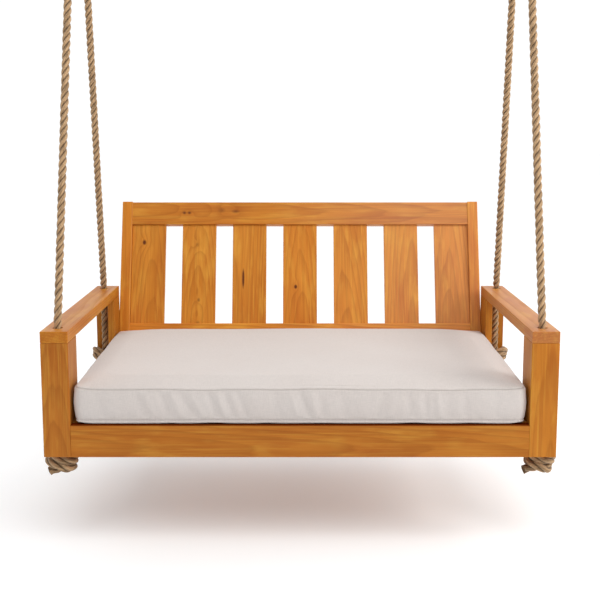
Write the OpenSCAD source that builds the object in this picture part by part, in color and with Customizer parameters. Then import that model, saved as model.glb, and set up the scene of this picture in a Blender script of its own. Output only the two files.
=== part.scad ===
// Hanging swing bed: a timber seat frame with two arms and a raked, slatted back,
// hung on four twisted ropes. The ropes run down through the arms and are knotted
// underneath. Each rope ends above in an eye round a thimble, which turns on the pin
// of a ceiling hanger. Left and right are as seen from the front.
//
// Lengths are in millimetres, +Z is up, +Y points to the back of the seat and +X to
// the right. The origin is on the ceiling plane, over the seat. The frame is
// laid out in seat coordinates: Y from the front of the posts, Z from their feet.

/* [Seat] */
// Overall width over the arms
bed_w = 1676; // [1500:2:1900]
// Overall depth of the arms, front to back
bed_d = 1046; // [1000:2:1100]
// Width of the arms and posts
arm_w = 90; // [84:1:100]
// Thickness of the arms
arm_t = 38; // [32:1:45]
// Height of the front posts
post_h = 380; // [340:5:420]
// Depth of the front posts
post_d = 140; // [130:1:150]
// Height of the seat rails
rail_h = 108; // [96:1:120]
// Thickness of the seat rails
rail_t = 38; // [32:1:40]
// Radius of the rounded edges
edge_r = 3; // [1:0.5:4]

/* [Deck] */
// Number of deck slats
deck_n = 7; // [6:1:7]
// Width of a deck slat
deck_w = 141; // [110:1:150]
// Thickness of a deck slat
deck_t = 19; // [16:1:22]

/* [Back] */
// Lean of the back from the vertical, in degrees
lean = 19.34; // [15:0.5:22]
// Width of a back stile
stile_w = 43; // [38:1:46]
// Depth of a back stile
stile_d = 64; // [58:1:66]
// Height of the top rail, measured up the slope
top_rail_h = 96; // [80:1:105]
// Number of back slats
slat_n = 7; // [5:1:7]
// Width of a back slat
slat_w = 141; // [120:1:145]
// Thickness of a back slat
slat_t = 19; // [16:1:22]

/* [Cushion] */
// Width of the seat cushion
cushion_w = 1478; // [1440:2:1482]
// Thickness of the seat cushion
cushion_h = 130; // [100:2:140]

/* [Ropes] */
// Diameter of the ropes
rope_d = 25; // [22:0.5:26]
// Diameter of the rope holes in the arms and front posts
rope_hole_d = 29; // [28:0.5:32]

/* [Hangers] */
// Width of a hanger's base plate
plate_w = 110; // [104:1:130]
// Depth of a hanger's base plate
plate_d = 80; // [76:1:100]
// Diameter of the screw holes in the base plate
screw_hole_d = 9; // [7:0.5:10]
// Diameter of the clevis pin
pin_d = 16; // [12:0.5:18]

/* [Hidden] */
$fn = 48;
half = bed_w / 2;
inner = half - arm_w;            // inner face of the arms and posts
arm_top = post_h + arm_t;
// The point over the seat where the lines of all four ropes meet, in seat coordinates
meet_y = 566;
meet_z = 2285;
meet_x = inner + 32.5;
// Rope holes, seat coordinates of the right hand side
rope_front = [inner + 46, 70];
rope_rear = [inner + 51, bed_d - 68];
// Height of the hanger pins and of the ceiling plane
pin_z = 1750;
ceiling_z = 1830;
rope_r = rope_d / 2;
hole_r = rope_hole_d / 2;
rise = (pin_z - arm_top) / (meet_z - arm_top);
pin_front = [rope_front[0] + rise * (meet_x - rope_front[0]),
             rope_front[1] + rise * (meet_y - rope_front[1])];
pin_rear = [rope_rear[0] + rise * (meet_x - rope_rear[0]),
            rope_rear[1] + rise * (meet_y - rope_rear[1])];
// The rear post: a board beside the stile, and a shorter board behind the rope
board_t = 26;
rear_y = bed_d - 140;
back_y = bed_d - 38;
knot_z = 160;                     // underside of the rear post, where the rear knots bear
leg_y = rear_y + 40;
// Back frame, in its own leaning coordinates: u up the slope, v into the back
back_foot_y = 931;
stile_x = inner;                  // outer face of a stile
stile_top = 801;
rail_v = 3;
rail_vt = 38;
slat_v = rail_v + (rail_vt - slat_t) / 2;
top_u1 = stile_top - 2.5;
top_u0 = top_u1 - top_rail_h;
bot_u1 = 281;
bot_u0 = 192;
rail_x = stile_x - stile_w;       // half the length of the back rails
slat_gap = (2 * rail_x - slat_n * slat_w) / (slat_n - 1);
tenon = 12;
// Seat frame
side_x0 = inner - rail_t;
beam_y = 504;
deck_z0 = rail_h - deck_t;
cleat = 38;
deck_pitch = (2 * side_x0 - 10 - deck_w) / (deck_n - 1);
deck_screw_x = deck_w / 2 - 20;
cushion_z = rail_h + 0.3;
cushion_y0 = 12;
cushion_y1 = 964;                 // at the foot of its raked rear side
// Flare at the top of a rope hole
mouth_h = 9;
mouth_r = 4;
hide = 14;                        // depth in the hole at which the free rope starts
plate_t = 6;
ear_t = 5;
ear_gap = 35;
ear_r = 20;
bolt_r = 4;
wood = [0.76, 0.45, 0.17];
wood_deep = [0.70, 0.39, 0.14];
linen = [0.86, 0.83, 0.79];
hemp = [0.67, 0.56, 0.42];
steel = [0.55, 0.56, 0.58];

// The route of a rope's eye, in the plane of the eye: [up along the rope, across],
// counted from the pin
eye = [[-200, 0], [-150, 0], [-122, -6], [-70, -27], [-15, -48],
       [8, -50], [30, -41], [45, -23], [51, 0], [45, 23], [30, 41], [8, 50], [-15, 48],
       [-70, 37], [-122, 27], [-150, 26], [-196, 26]];

// ---- frames ----
module seat() translate([0, -meet_y, -ceiling_z]) children();
module left() mirror([1, 0, 0]) children();
module sloped() translate([0, back_foot_y, 0]) rotate([-lean, 0, 0]) children();

// ---- boards with rounded edges ----
module rrect(w, h, r) {
    translate([r, 0]) square([w - 2 * r, h]);
    translate([0, r]) square([w, h - 2 * r]);
    for (x = [r, w - r], y = [r, h - r]) translate([x, y]) circle(r = r, $fn = 24);
}
module board_x(a, b, r) translate([a[0], 0, 0]) rotate([90, 0, 90])
    linear_extrude(b[0] - a[0]) translate([a[1], a[2]]) rrect(b[1] - a[1], b[2] - a[2], r);
module board_y(a, b, r) translate([0, b[1], 0]) rotate([90, 0, 0])
    linear_extrude(b[1] - a[1]) translate([a[0], a[2]]) rrect(b[0] - a[0], b[2] - a[2], r);
module board_z(a, b, r) translate([0, 0, a[2]])
    linear_extrude(b[2] - a[2]) translate([a[0], a[1]]) rrect(b[0] - a[0], b[1] - a[1], r);
module board_all(a, b, r) intersection() {
    board_x(a, b, r);
    board_y(a, b, r);
    board_z(a, b, r);
}
module rod_x(x0, x1, y, z, r) translate([x0, y, z]) rotate([0, 90, 0]) cylinder(r = r, h = x1 - x0);
module rod_y(x, y0, y1, z, r) translate([x, y1, z]) rotate([90, 0, 0]) cylinder(r = r, h = y1 - y0);
module rod_z(x, y, z0, z1, r) translate([x, y, z0]) cylinder(r = r, h = z1 - z0);

// ---- places of the fastenings, right hand side ----
post_bolts = [[48.5, 30], [110, 72]];            // [y, z], front post to side rail
leg_bolts = [[rear_y + 20, 30], [rear_y + 20, 76]]; // rear post to side rail
stile_lags = [[1034, 190], [1026, 232]];         // through both rear boards into the stile
board_lag = [1027, 345];                         // rear post into the board behind it
arm_dowels = [[inner + 46, 26], [inner + 46, 114], [inner + 13, rear_y + 26], [inner + 13, bed_d - 26],
              [inner + 66, bed_d - 19]];         // [x, y]
rail_dowels = [28, 80];                          // z, front rail into the post
back_dowels_u = [bot_u0 + 22, bot_u1 - 22, top_u0 + 24, top_u1 - 24];
function deck_x(i) = -side_x0 + 5 + deck_w / 2 + i * deck_pitch;
deck_rows = [57, beam_y + 19, bed_d - 57];       // y of the screws through a deck slat
cleat_x = [-600, -200, 200, 600];
rear_screws = [30, 78];                          // z, side rail into the rear rail
beam_screws = [25, 65];                          // z, side rail into the middle beam

// ---- seat frame ----
module front_rail() color(wood) seat() difference() {
    board_x([-inner, 0, 0], [inner, rail_t, rail_h], edge_r);
    for (s = [-1, 1], z = rail_dowels) rod_x(s * inner - 33, s * inner + 33, 19, z, 6.1);
    for (x = cleat_x) rod_y(x, rail_t - 22, rail_t + 1, 70, 2.6);
}
module rear_rail() color(wood_deep) seat() difference() {
    board_x([-side_x0, bed_d - rail_t, 0], [side_x0, bed_d, rail_h], 2);
    for (x = cleat_x) rod_y(x, bed_d - rail_t - 1, bed_d - rail_t + 22, 70, 2.6);
    for (s = [-1, 1], z = rear_screws) rod_x(s * side_x0 - 33, s * side_x0 + 33, bed_d - 19, z, 2.6);
}
module side_rail() color(wood_deep) seat() difference() {
    board_y([side_x0, rail_t, 0], [inner, bed_d, rail_h], 2);
    for (p = concat(post_bolts, leg_bolts)) rod_x(side_x0 - 1, inner + 1, p[0], p[1], bolt_r + 0.2);
    for (p = [[bed_d - 19, rear_screws[0]], [bed_d - 19, rear_screws[1]],
              [beam_y + 19, beam_screws[0]], [beam_y + 19, beam_screws[1]]]) {
        rod_x(side_x0 - 1, inner + 1, p[0], p[1], 2.6);
        rod_x(inner - 3, inner + 1, p[0], p[1], 5.4);
    }
}
module mid_beam() color(wood_deep) seat() difference() {
    board_x([-side_x0, beam_y, 0], [side_x0, beam_y + 38, deck_z0], 2);
    for (s = [-1, 1], z = beam_screws) rod_x(s * side_x0 - 33, s * side_x0 + 33, beam_y + 19, z, 2.6);
    for (i = [0:deck_n - 1], s = [-1, 1])
        rod_z(deck_x(i) + s * deck_screw_x, deck_rows[1], deck_z0 - 22, deck_z0 + 1, 2.1);
}
// head is the y of the face that the screw heads are let into
module a_cleat(y0, row, head) difference() {
    board_x([-side_x0 + 1, y0, deck_z0 - cleat], [side_x0 - 1, y0 + cleat, deck_z0], 2);
    for (x = cleat_x) {
        rod_y(x, y0 - 1, y0 + cleat + 1, 70, 2.6);
        rod_y(x, head - 3, head + 3, 70, 5.4);
    }
    for (i = [0:deck_n - 1], s = [-1, 1])
        rod_z(deck_x(i) + s * deck_screw_x, deck_rows[row], deck_z0 - 22, deck_z0 + 1, 2.1);
}
module front_cleat() color(wood_deep) seat() a_cleat(rail_t, 0, rail_t + cleat);
module rear_cleat() color(wood_deep) seat() a_cleat(bed_d - rail_t - cleat, 2, bed_d - rail_t - cleat);
module deck_slat(i) color(wood_deep) seat() difference() {
    board_y([deck_x(i) - deck_w / 2, rail_t + 0.5, deck_z0], [deck_x(i) + deck_w / 2, bed_d - rail_t - 0.5, rail_h], 2);
    for (y = deck_rows, s = [-1, 1]) {
        rod_z(deck_x(i) + s * deck_screw_x, y, deck_z0 - 1, rail_h + 1, 2.1);
        translate([deck_x(i) + s * deck_screw_x, y, rail_h - 3]) cylinder(r1 = 2.1, r2 = 5.2, h = 3.1);
    }
}

// ---- posts and arms ----
module front_post() color(wood) seat() difference() {
    board_all([inner, 0, 0], [half, post_d, post_h], edge_r);
    rod_z(rope_front[0], rope_front[1], -1, post_h + 1, hole_r);
    for (p = post_bolts) {
        rod_x(inner - 1, half + 1, p[0], p[1], bolt_r + 0.2);
        rod_x(half - 8, half + 1, p[0], p[1], 12);
    }
    for (z = rail_dowels) rod_x(inner - 33, inner + 33, 19, z, 6.1);
    for (i = [0, 1]) rod_z(arm_dowels[i][0], arm_dowels[i][1], post_h - 27, post_h + 27, 5.1);
}
module armrest() color(wood) seat() difference() {
    board_all([inner, 0, post_h], [half, bed_d, arm_top], edge_r);
    for (p = [rope_front, rope_rear]) {
        rod_z(p[0], p[1], post_h - 1, arm_top + 1, hole_r);
        translate([p[0], p[1], arm_top - mouth_h]) cylinder(r1 = hole_r, r2 = hole_r + mouth_r, h = mouth_h);
        rod_z(p[0], p[1], arm_top - 0.1, arm_top + 1, hole_r + mouth_r);
    }
    for (p = arm_dowels) rod_z(p[0], p[1], post_h - 27, post_h + 27, 5.1);
}
module rear_post() color(wood) seat() difference() {
    board_z([inner, rear_y, 0], [inner + board_t, bed_d, post_h], 2.5);
    translate([inner - 1, leg_y, -1]) cube([board_t + 2, 200, knot_z + 1]);
    for (p = leg_bolts) rod_x(inner - 1, inner + board_t + 1, p[0], p[1], bolt_r + 0.2);
    for (p = stile_lags) rod_x(inner - 1, inner + board_t + 1, p[0], p[1], 3.1);
    rod_x(inner - 1, inner + board_t + 1, board_lag[0], board_lag[1], 3.1);
    rod_x(inner - 1, inner + 6, board_lag[0], board_lag[1], 8);
    for (i = [2, 3]) rod_z(arm_dowels[i][0], arm_dowels[i][1], post_h - 27, post_h + 27, 5.1);
}
module rear_post_back() color(wood) seat() difference() {
    board_z([inner + board_t, back_y, knot_z], [half, bed_d, post_h], 2.5);
    for (p = stile_lags) {
        rod_x(inner, half + 1, p[0], p[1], 3.1);
        rod_x(half - 7, half + 1, p[0], p[1], 8);
    }
    rod_x(inner, inner + board_t + 36, board_lag[0], board_lag[1], 3.1);
    rod_z(arm_dowels[4][0], arm_dowels[4][1], post_h - 27, post_h + 27, 5.1);
}

// ---- back ----
module back_stile() color(wood) seat() difference() {
    sloped() board_all([rail_x, 0, 60], [stile_x, stile_d, stile_top], edge_r);
    translate([rail_x - 1, 0, -100]) cube([stile_w + 2, bed_d + 400, 100 + rail_h]);
    sloped() for (u = back_dowels_u) rod_x(rail_x - 1, rail_x + 27, rail_v + 19, u, 5.1);
    for (p = stile_lags) rod_x(stile_x - 34, stile_x + 1, p[0], p[1], 3.1);
}
module back_rail(u0, u1, pocket_u, dowels) difference() {
    sloped() board_x([-rail_x, rail_v, u0], [rail_x, rail_v + rail_vt, u1], 2.5);
    sloped() for (i = [0:slat_n - 1])
        translate([-rail_x + i * (slat_w + slat_gap) - 0.1, slat_v - 0.1, pocket_u])
            cube([slat_w + 0.2, slat_t + 0.2, tenon + 1]);
    sloped() for (s = [-1, 1], u = dowels) rod_x(s * rail_x - 33, s * rail_x + 33, rail_v + 19, u, 5.1);
}
module back_top_rail() color(wood) seat()
    back_rail(top_u0, top_u1, top_u0 - 0.5, [back_dowels_u[2], back_dowels_u[3]]);
module back_bottom_rail() color(wood) seat()
    back_rail(bot_u0, bot_u1, bot_u1 - tenon - 0.5, [back_dowels_u[0], back_dowels_u[1]]);
module back_slat(i) color(wood) seat() sloped()
    board_z([-rail_x + i * (slat_w + slat_gap), slat_v, bot_u1 - tenon],
            [-rail_x + i * (slat_w + slat_gap) + slat_w, slat_v + slat_t, top_u0 + tenon], 2);

// ---- fastenings ----
module bolt_head(x, y, z) translate([x, y, z]) rotate([0, 90, 0]) {
    cylinder(r1 = 10, r2 = 8.2, h = 2.5);
    translate([0, 0, 2.5]) cylinder(r1 = 8.2, r2 = 4, h = 2);
}
module carriage_bolts() color(steel) seat() for (s = [0, 1]) mirror([s, 0, 0]) {
    for (p = post_bolts) {
        rod_x(side_x0 - 14, half - 7.5, p[0], p[1], bolt_r);
        bolt_head(half - 7.8, p[0], p[1]);
    }
    for (p = leg_bolts) {
        rod_x(side_x0 - 14, inner + board_t + 0.5, p[0], p[1], bolt_r);
        bolt_head(inner + board_t + 0.2, p[0], p[1]);
    }
}
module bolt_nuts() color(steel) seat() for (s = [0, 1]) mirror([s, 0, 0])
    for (p = concat(post_bolts, leg_bolts)) difference() {
        union() {
            rod_x(side_x0 - 2.2, side_x0 - 0.2, p[0], p[1], 9.5);
            translate([side_x0 - 9, p[0], p[1]]) rotate([0, 90, 0]) cylinder(r = 7.5, h = 6.9, $fn = 6);
        }
        rod_x(side_x0 - 20, side_x0 + 1, p[0], p[1], bolt_r + 0.05);
    }
module lag_screws() color(steel) seat() for (s = [0, 1]) mirror([s, 0, 0]) {
    for (p = stile_lags) {
        rod_x(stile_x - 33, half - 6.5, p[0], p[1], 3);
        translate([half - 6.8, p[0], p[1]]) rotate([0, 90, 0]) cylinder(r = 6.5, h = 4.5, $fn = 6);
    }
    rod_x(inner + 5, inner + board_t + 34, board_lag[0], board_lag[1], 3);
    translate([inner + 1.3, board_lag[0], board_lag[1]]) rotate([0, 90, 0]) cylinder(r = 6.5, h = 4.5, $fn = 6);
}
module frame_screws() color(steel) seat() {
    for (s = [0, 1]) mirror([s, 0, 0])
        for (p = [[bed_d - 19, rear_screws[0]], [bed_d - 19, rear_screws[1]],
                  [beam_y + 19, beam_screws[0]], [beam_y + 19, beam_screws[1]]]) {
            rod_x(side_x0 - 32, inner - 1, p[0], p[1], 2.5);
            rod_x(inner - 2.8, inner - 0.3, p[0], p[1], 5);
        }
    for (x = cleat_x) {
        rod_y(x, rail_t - 21, rail_t + cleat - 1, 70, 2.5);
        rod_y(x, rail_t + cleat - 2.8, rail_t + cleat - 0.3, 70, 5);
        rod_y(x, bed_d - rail_t - cleat + 1, bed_d - rail_t + 21, 70, 2.5);
        rod_y(x, bed_d - rail_t - cleat + 0.3, bed_d - rail_t - cleat + 2.8, 70, 5);
    }
}
module deck_screws() color(steel) seat() for (i = [0:deck_n - 1], y = deck_rows, s = [-1, 1])
    translate([deck_x(i) + s * deck_screw_x, y, 0]) {
        translate([0, 0, deck_z0 - 20]) cylinder(r = 2, h = rail_h - deck_z0 + 19);
        translate([0, 0, rail_h - 3]) cylinder(r1 = 2, r2 = 4.6, h = 2.6);
    }
module frame_dowels() color([0.86, 0.72, 0.5]) seat() {
    for (s = [0, 1]) mirror([s, 0, 0]) {
        for (p = arm_dowels) rod_z(p[0], p[1], post_h - 25, post_h + 25, 5);
        for (z = rail_dowels) rod_x(inner - 31, inner + 31, 19, z, 6);
        sloped() for (u = back_dowels_u) rod_x(rail_x - 31, rail_x + 25, rail_v + 19, u, 5);
    }
}

// ---- ropes below the arm tops ----
// The rope through the arm and post, and the knot under it: c is the knot's centre,
// z its top, w, d and h its size and tail the way its cut end points.
module knot(c, z, w, d, h, tail) {
    hull() for (x = [-1, 1], y = [-1, 1])
        translate([c[0] + x * (w / 2 - 20), c[1] + y * (d / 2 - 20), z - 20]) sphere(r = 20, $fn = 20);
    hull() for (x = [-1, 1])
        translate([c[0] + x * (w / 2 - 30), c[1], z - h + 15]) sphere(r = 15, $fn = 16);
    hull() {
        translate([c[0], c[1], z - h + 14]) sphere(r = 12, $fn = 16);
        translate([c[0] + tail[0], c[1] + tail[1], z + tail[2]]) sphere(r = 12, $fn = 16);
    }
}
module rope_end(p, foot) rod_z(p[0], p[1], foot - 10, arm_top - hide - 0.5, rope_r);
module rope_end_front_left() color(hemp) seat() {
    left() rope_end(rope_front, 0);
    knot([-rope_front[0], rope_front[1]], -0.3, 108, 84, 51, [-26, 0, -57]);
}
module rope_end_front_right() color(hemp) seat() {
    rope_end(rope_front, 0);
    knot(rope_front, -0.3, 108, 84, 51, [-38, 0, -53]);
}
module rope_end_rear_left() color(hemp) seat() {
    left() rope_end(rope_rear, knot_z);
    knot([-rope_rear[0] - 7, rope_rear[1] + 7], knot_z - 0.3, 100, 74, 46, [-6, 0, -36]);
}
module rope_end_rear_right() color(hemp) seat() {
    rope_end(rope_rear, knot_z);
    knot([rope_rear[0] + 7, rope_rear[1] + 7], knot_z - 0.3, 100, 74, 46, [-6, 0, -36]);
}

// ---- hangers ----
module hanger(p) color(steel) seat() difference() {
    union() {
        translate([p[0] - plate_w / 2, p[1] - plate_d / 2, ceiling_z - plate_t])
            linear_extrude(plate_t) rrect(plate_w, plate_d, 10);
        for (s = [-1, 1]) translate([p[0] + s * (ear_gap + ear_t) / 2 - ear_t / 2, p[1], pin_z]) {
            rotate([0, 90, 0]) cylinder(r = ear_r, h = ear_t);
            translate([0, -ear_r, 0]) cube([ear_t, 2 * ear_r, ceiling_z - plate_t - pin_z + 0.5]);
        }
    }
    for (x = [-1, 1], y = [-1, 1])
        rod_z(p[0] + x * (plate_w / 2 - 13), p[1] + y * (plate_d / 2 - 12), ceiling_z - plate_t - 1, ceiling_z + 1, screw_hole_d / 2);
    rod_x(p[0] - 40, p[0] + 40, p[1], pin_z, pin_d / 2 + 0.05);
}
module pin(p) {
    x1 = ear_gap / 2 + ear_t;
    rod_x(p[0] - x1 - 9, p[0] + x1 + 0.5, p[1], pin_z, pin_d / 2);
    rod_x(p[0] + x1 + 0.3, p[0] + x1 + 5, p[1], pin_z, pin_d / 2 + 4);
    difference() {
        rod_x(p[0] - x1 - 4, p[0] - x1 - 1, p[1], pin_z, pin_d / 2 + 3);
        rod_x(p[0] - x1 - 5, p[0] - x1, p[1], pin_z, pin_d / 2 - 0.5);
    }
}
module hanger_pins() color(steel) seat() for (s = [0, 1]) mirror([s, 0, 0]) {
    pin(pin_front);
    pin(pin_rear);
}

// ---- rope eyes and free ropes ----
module thimble(p) translate([p[0], p[1], pin_z]) rotate([0, 90, 0]) difference() {
    translate([0, 0, -15]) cylinder(r = 45, h = 30);
    rotate_extrude($fn = 72) translate([50, 0]) circle(r = 14.6, $fn = 40);
    translate([0, 0, -16]) cylinder(r = pin_d / 2 + 0.05, h = 32);
}
module front_thimbles() color(steel) seat() for (s = [0, 1]) mirror([s, 0, 0]) thimble(pin_front);
module rear_thimbles() color(steel) seat() for (s = [0, 1]) mirror([s, 0, 0]) thimble(pin_rear);

// A binding of cord round the two parts of the rope below the eye
module seizing(p, q, side) {
    a = atan2(q[1] - p[1], pin_z - arm_top);
    translate([q[0], q[1], pin_z]) rotate([-a, 0, 0]) translate([0, 0, -190]) linear_extrude(40) difference() {
        union() {
            circle(r = rope_r + 4);
            translate([0, side * 26]) circle(r = rope_r + 4);
            translate([-rope_r - 4, side > 0 ? 0 : -26]) square([2 * rope_r + 8, 26]);
        }
        circle(r = rope_r + 0.3);
        translate([0, side * 26]) circle(r = rope_r + 0.3);
    }
}
module front_seizings() color(hemp) seat() for (s = [0, 1]) mirror([s, 0, 0]) seizing(rope_front, pin_front, 1);
module rear_seizings() color(hemp) seat() for (s = [0, 1]) mirror([s, 0, 0]) seizing(rope_rear, pin_rear, -1);

function unit(a) = a / norm(a);
// The centre line of a free rope: straight up out of the hole, over a bend of radius
// bend to its lean, then round the eye. The eye lies in a plane of constant X through
// the pin, and side is the way that its tail faces.
bend = 50;
function route(p, q, side) =
    let (a = atan2(q[1] - p[1], pin_z - arm_top), g = sign(a), b = abs(a), k = bend * tan(b / 2))
    concat([[p[0], p[1], arm_top - hide]],
           [for (c = [0, b / 2, b]) [p[0], p[1] + g * bend * (1 - cos(c)), arm_top - k + bend * sin(c)]],
           [for (e = eye) [q[0], q[1] + e[0] * sin(a) + side * e[1] * cos(a), pin_z + e[0] * cos(a) - side * e[1] * sin(a)]]);
// A tube of n sides along a route in a near-vertical plane of constant X
module tube(path, r, n) {
    m = len(path);
    // direction of travel at each point, the first end cut level
    t = [for (i = [0:m - 1]) i == 0 ? [0, 0, 1]
        : unit(path[min(i + 1, m - 1)] - path[i - 1])];
    pts = [for (i = [0:m - 1]) let (w = unit(cross([1, 0, 0], t[i])), v = unit(cross(t[i], w)))
        for (k = [0:n - 1]) path[i] + r * (cos(360 * k / n) * v + sin(360 * k / n) * w)];
    polyhedron(points = pts, faces = concat(
        [[for (k = [0:n - 1]) k]],
        [for (i = [0:m - 2], k = [0:n - 1])
            [i * n + k, (i + 1) * n + k, (i + 1) * n + (k + 1) % n, i * n + (k + 1) % n]],
        [[for (k = [n - 1:-1:0]) (m - 1) * n + k]]));
}
module free_rope(p, q, side) color(hemp) seat() tube(route(p, q, side), rope_r, 10);

// ---- cushion ----
// The cushion's outline from the side: upright in front, and leaning like the back
// behind. r is the radius of its corners.
module pad_side(y0, y1, z0, z1, r) {
    y2 = y1 + (z1 - z0) * tan(lean);
    tb = r / tan(45 + lean / 2);
    tt = r / tan(45 - lean / 2);
    polygon([[y0, z0 + r], [y0 + r, z0], [y1 - tb, z0], [y1 + tb * sin(lean), z0 + tb * cos(lean)],
             [y2 - tt * sin(lean), z1 - tt * cos(lean)], [y2 - tt, z1], [y0 + r, z1], [y0, z1 - r]]);
    for (c = [[y0 + r, z0 + r], [y1 - tb, z0 + r], [y2 - tt, z1 - r], [y0 + r, z1 - r]])
        translate(c) circle(r = r);
}
module pad(inset) {
    x = cushion_w / 2 - inset;
    y0 = cushion_y0 + inset;
    y1 = cushion_y1 + inset * tan(lean) - inset / cos(lean);
    z0 = cushion_z + inset;
    z1 = cushion_z + cushion_h - inset;
    r = 26 - inset / 2;
    foot = y1 - z0 * tan(lean);
    intersection() {
        translate([-x - 1, 0, 0]) rotate([90, 0, 90]) linear_extrude(2 * x + 2) pad_side(y0, y1, z0, z1, r);
        board_y([-x, y0 - 1, z0], [x, y1 + 80, z1], r);
        union() {
            board_z([-x, y0, z0 - 1], [x, y0 + 750, z1 + 1], 34 - inset / 2);
            translate([0, foot, 0]) rotate([-lean, 0, 0])
                board_z([-x, -400, -200], [x, 0, 400], 34 - inset / 2);
        }
    }
}
module cushion_cover() color(linen) seat() difference() {
    pad(0);
    pad(2);
}
module cushion_core() color([0.93, 0.9, 0.8]) seat() pad(2.5);

front_rail();
rear_rail();
left() side_rail();  // side_rail_left
side_rail();  // side_rail_right
mid_beam();
front_cleat();
rear_cleat();
deck_slat(0);  // deck_slat_1
deck_slat(1);  // deck_slat_2
deck_slat(2);  // deck_slat_3
deck_slat(3);  // deck_slat_4
deck_slat(4);  // deck_slat_5
deck_slat(5);  // deck_slat_6
deck_slat(6);  // deck_slat_7
left() front_post();  // front_post_left
front_post();  // front_post_right
left() armrest();  // armrest_left
armrest();  // armrest_right
left() rear_post();  // rear_post_left
rear_post();  // rear_post_right
left() rear_post_back();  // rear_post_back_left
rear_post_back();  // rear_post_back_right
left() back_stile();  // back_stile_left
back_stile();  // back_stile_right
back_top_rail();
back_bottom_rail();
back_slat(0);  // back_slat_1
back_slat(1);  // back_slat_2
back_slat(2);  // back_slat_3
back_slat(3);  // back_slat_4
back_slat(4);  // back_slat_5
back_slat(5);  // back_slat_6
back_slat(6);  // back_slat_7
carriage_bolts();
bolt_nuts();
lag_screws();
frame_screws();
deck_screws();
frame_dowels();
rope_end_front_left();
rope_end_front_right();
rope_end_rear_left();
rope_end_rear_right();
left() hanger(pin_front);  // hanger_front_left
hanger(pin_front);  // hanger_front_right
left() hanger(pin_rear);  // hanger_rear_left
hanger(pin_rear);  // hanger_rear_right
hanger_pins();
left() free_rope(rope_front, pin_front, 1);  // rope_front_left
free_rope(rope_front, pin_front, 1);  // rope_front_right
left() free_rope(rope_rear, pin_rear, -1);  // rope_rear_left
free_rope(rope_rear, pin_rear, -1);  // rope_rear_right
front_thimbles();
rear_thimbles();
front_seizings();
rear_seizings();
cushion_cover();
cushion_core();
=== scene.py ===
import bpy
import bmesh
import math
import numpy as np
from mathutils import Vector, Matrix


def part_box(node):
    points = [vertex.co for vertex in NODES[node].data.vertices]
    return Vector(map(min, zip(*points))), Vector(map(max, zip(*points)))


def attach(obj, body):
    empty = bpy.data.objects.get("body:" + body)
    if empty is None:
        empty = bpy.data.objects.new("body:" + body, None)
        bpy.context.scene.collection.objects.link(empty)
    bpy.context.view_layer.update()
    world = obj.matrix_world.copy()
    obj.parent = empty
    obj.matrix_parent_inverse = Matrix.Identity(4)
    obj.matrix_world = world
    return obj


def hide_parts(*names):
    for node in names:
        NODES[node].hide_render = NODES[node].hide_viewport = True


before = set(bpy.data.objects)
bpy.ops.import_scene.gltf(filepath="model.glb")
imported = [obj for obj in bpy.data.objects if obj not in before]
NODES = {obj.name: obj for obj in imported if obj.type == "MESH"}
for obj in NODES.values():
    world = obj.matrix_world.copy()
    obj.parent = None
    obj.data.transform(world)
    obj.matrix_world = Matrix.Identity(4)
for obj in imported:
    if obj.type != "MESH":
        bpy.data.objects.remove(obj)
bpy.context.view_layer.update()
scene = bpy.context.scene

# Seat coordinates in millimetres (Y from the front of the posts, Z from their feet)
# to the row's metres.
MEET = np.array([0.0, 566.0, 2285.0])
CEILING = 1830.0


def S(x, y, z):
    return np.array([x, y - MEET[1], z - CEILING]) / 1000.0


# ------------------------------------------------------------------ camera
cam_data = bpy.data.cameras.new("camera")
cam_data.sensor_width = 36.0
cam_data.lens = 67.35
cam_data.clip_start = 0.1
cam_data.clip_end = 60.0
cam = bpy.data.objects.new("camera", cam_data)
scene.collection.objects.link(cam)
cam.location = S(0, -3549, 1073.8)
cam.rotation_euler = (math.radians(90 - 8.85), 0, 0)
scene.camera = cam


# ------------------------------------------------------------------ helpers
def link_mesh(name, verts, faces, smooth=True):
    me = bpy.data.meshes.new(name)
    me.from_pydata([tuple(v) for v in verts], [], faces)
    me.update()
    if smooth:
        me.polygons.foreach_set("use_smooth", [True] * len(me.polygons))
    ob = bpy.data.objects.new(name, me)
    scene.collection.objects.link(ob)
    return ob


def catmull(points, per=16):
    C = np.asarray(points, float)
    out = []
    n = len(C)
    for i in range(n - 1):
        p0 = C[i - 1] if i else 2 * C[0] - C[1]
        p1, p2 = C[i], C[i + 1]
        p3 = C[i + 2] if i + 2 < n else 2 * C[-1] - C[-2]
        a0 = 0.0
        a1 = a0 + max(np.linalg.norm(p1 - p0), 1e-6) ** 0.5
        a2 = a1 + max(np.linalg.norm(p2 - p1), 1e-6) ** 0.5
        a3 = a2 + max(np.linalg.norm(p3 - p2), 1e-6) ** 0.5
        for t in np.linspace(a1, a2, per, endpoint=False):
            A1 = (a1 - t) / (a1 - a0) * p0 + (t - a0) / (a1 - a0) * p1
            A2 = (a2 - t) / (a2 - a1) * p1 + (t - a1) / (a2 - a1) * p2
            A3 = (a3 - t) / (a3 - a2) * p2 + (t - a2) / (a3 - a2) * p3
            B1 = (a2 - t) / (a2 - a0) * A1 + (t - a0) / (a2 - a0) * A2
            B2 = (a3 - t) / (a3 - a1) * A2 + (t - a1) / (a3 - a1) * A3
            out.append((a2 - t) / (a2 - a1) * B1 + (t - a1) / (a2 - a1) * B2)
    out.append(C[-1])
    return np.array(out)


def resample(P, step):
    s = np.r_[0, np.cumsum(np.linalg.norm(np.diff(P, axis=0), axis=1))]
    n = max(2, int(round(s[-1] / step)))
    x = np.linspace(0, s[-1], n + 1)
    return np.stack([np.interp(x, s, P[:, k]) for k in range(3)], 1), x


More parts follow.
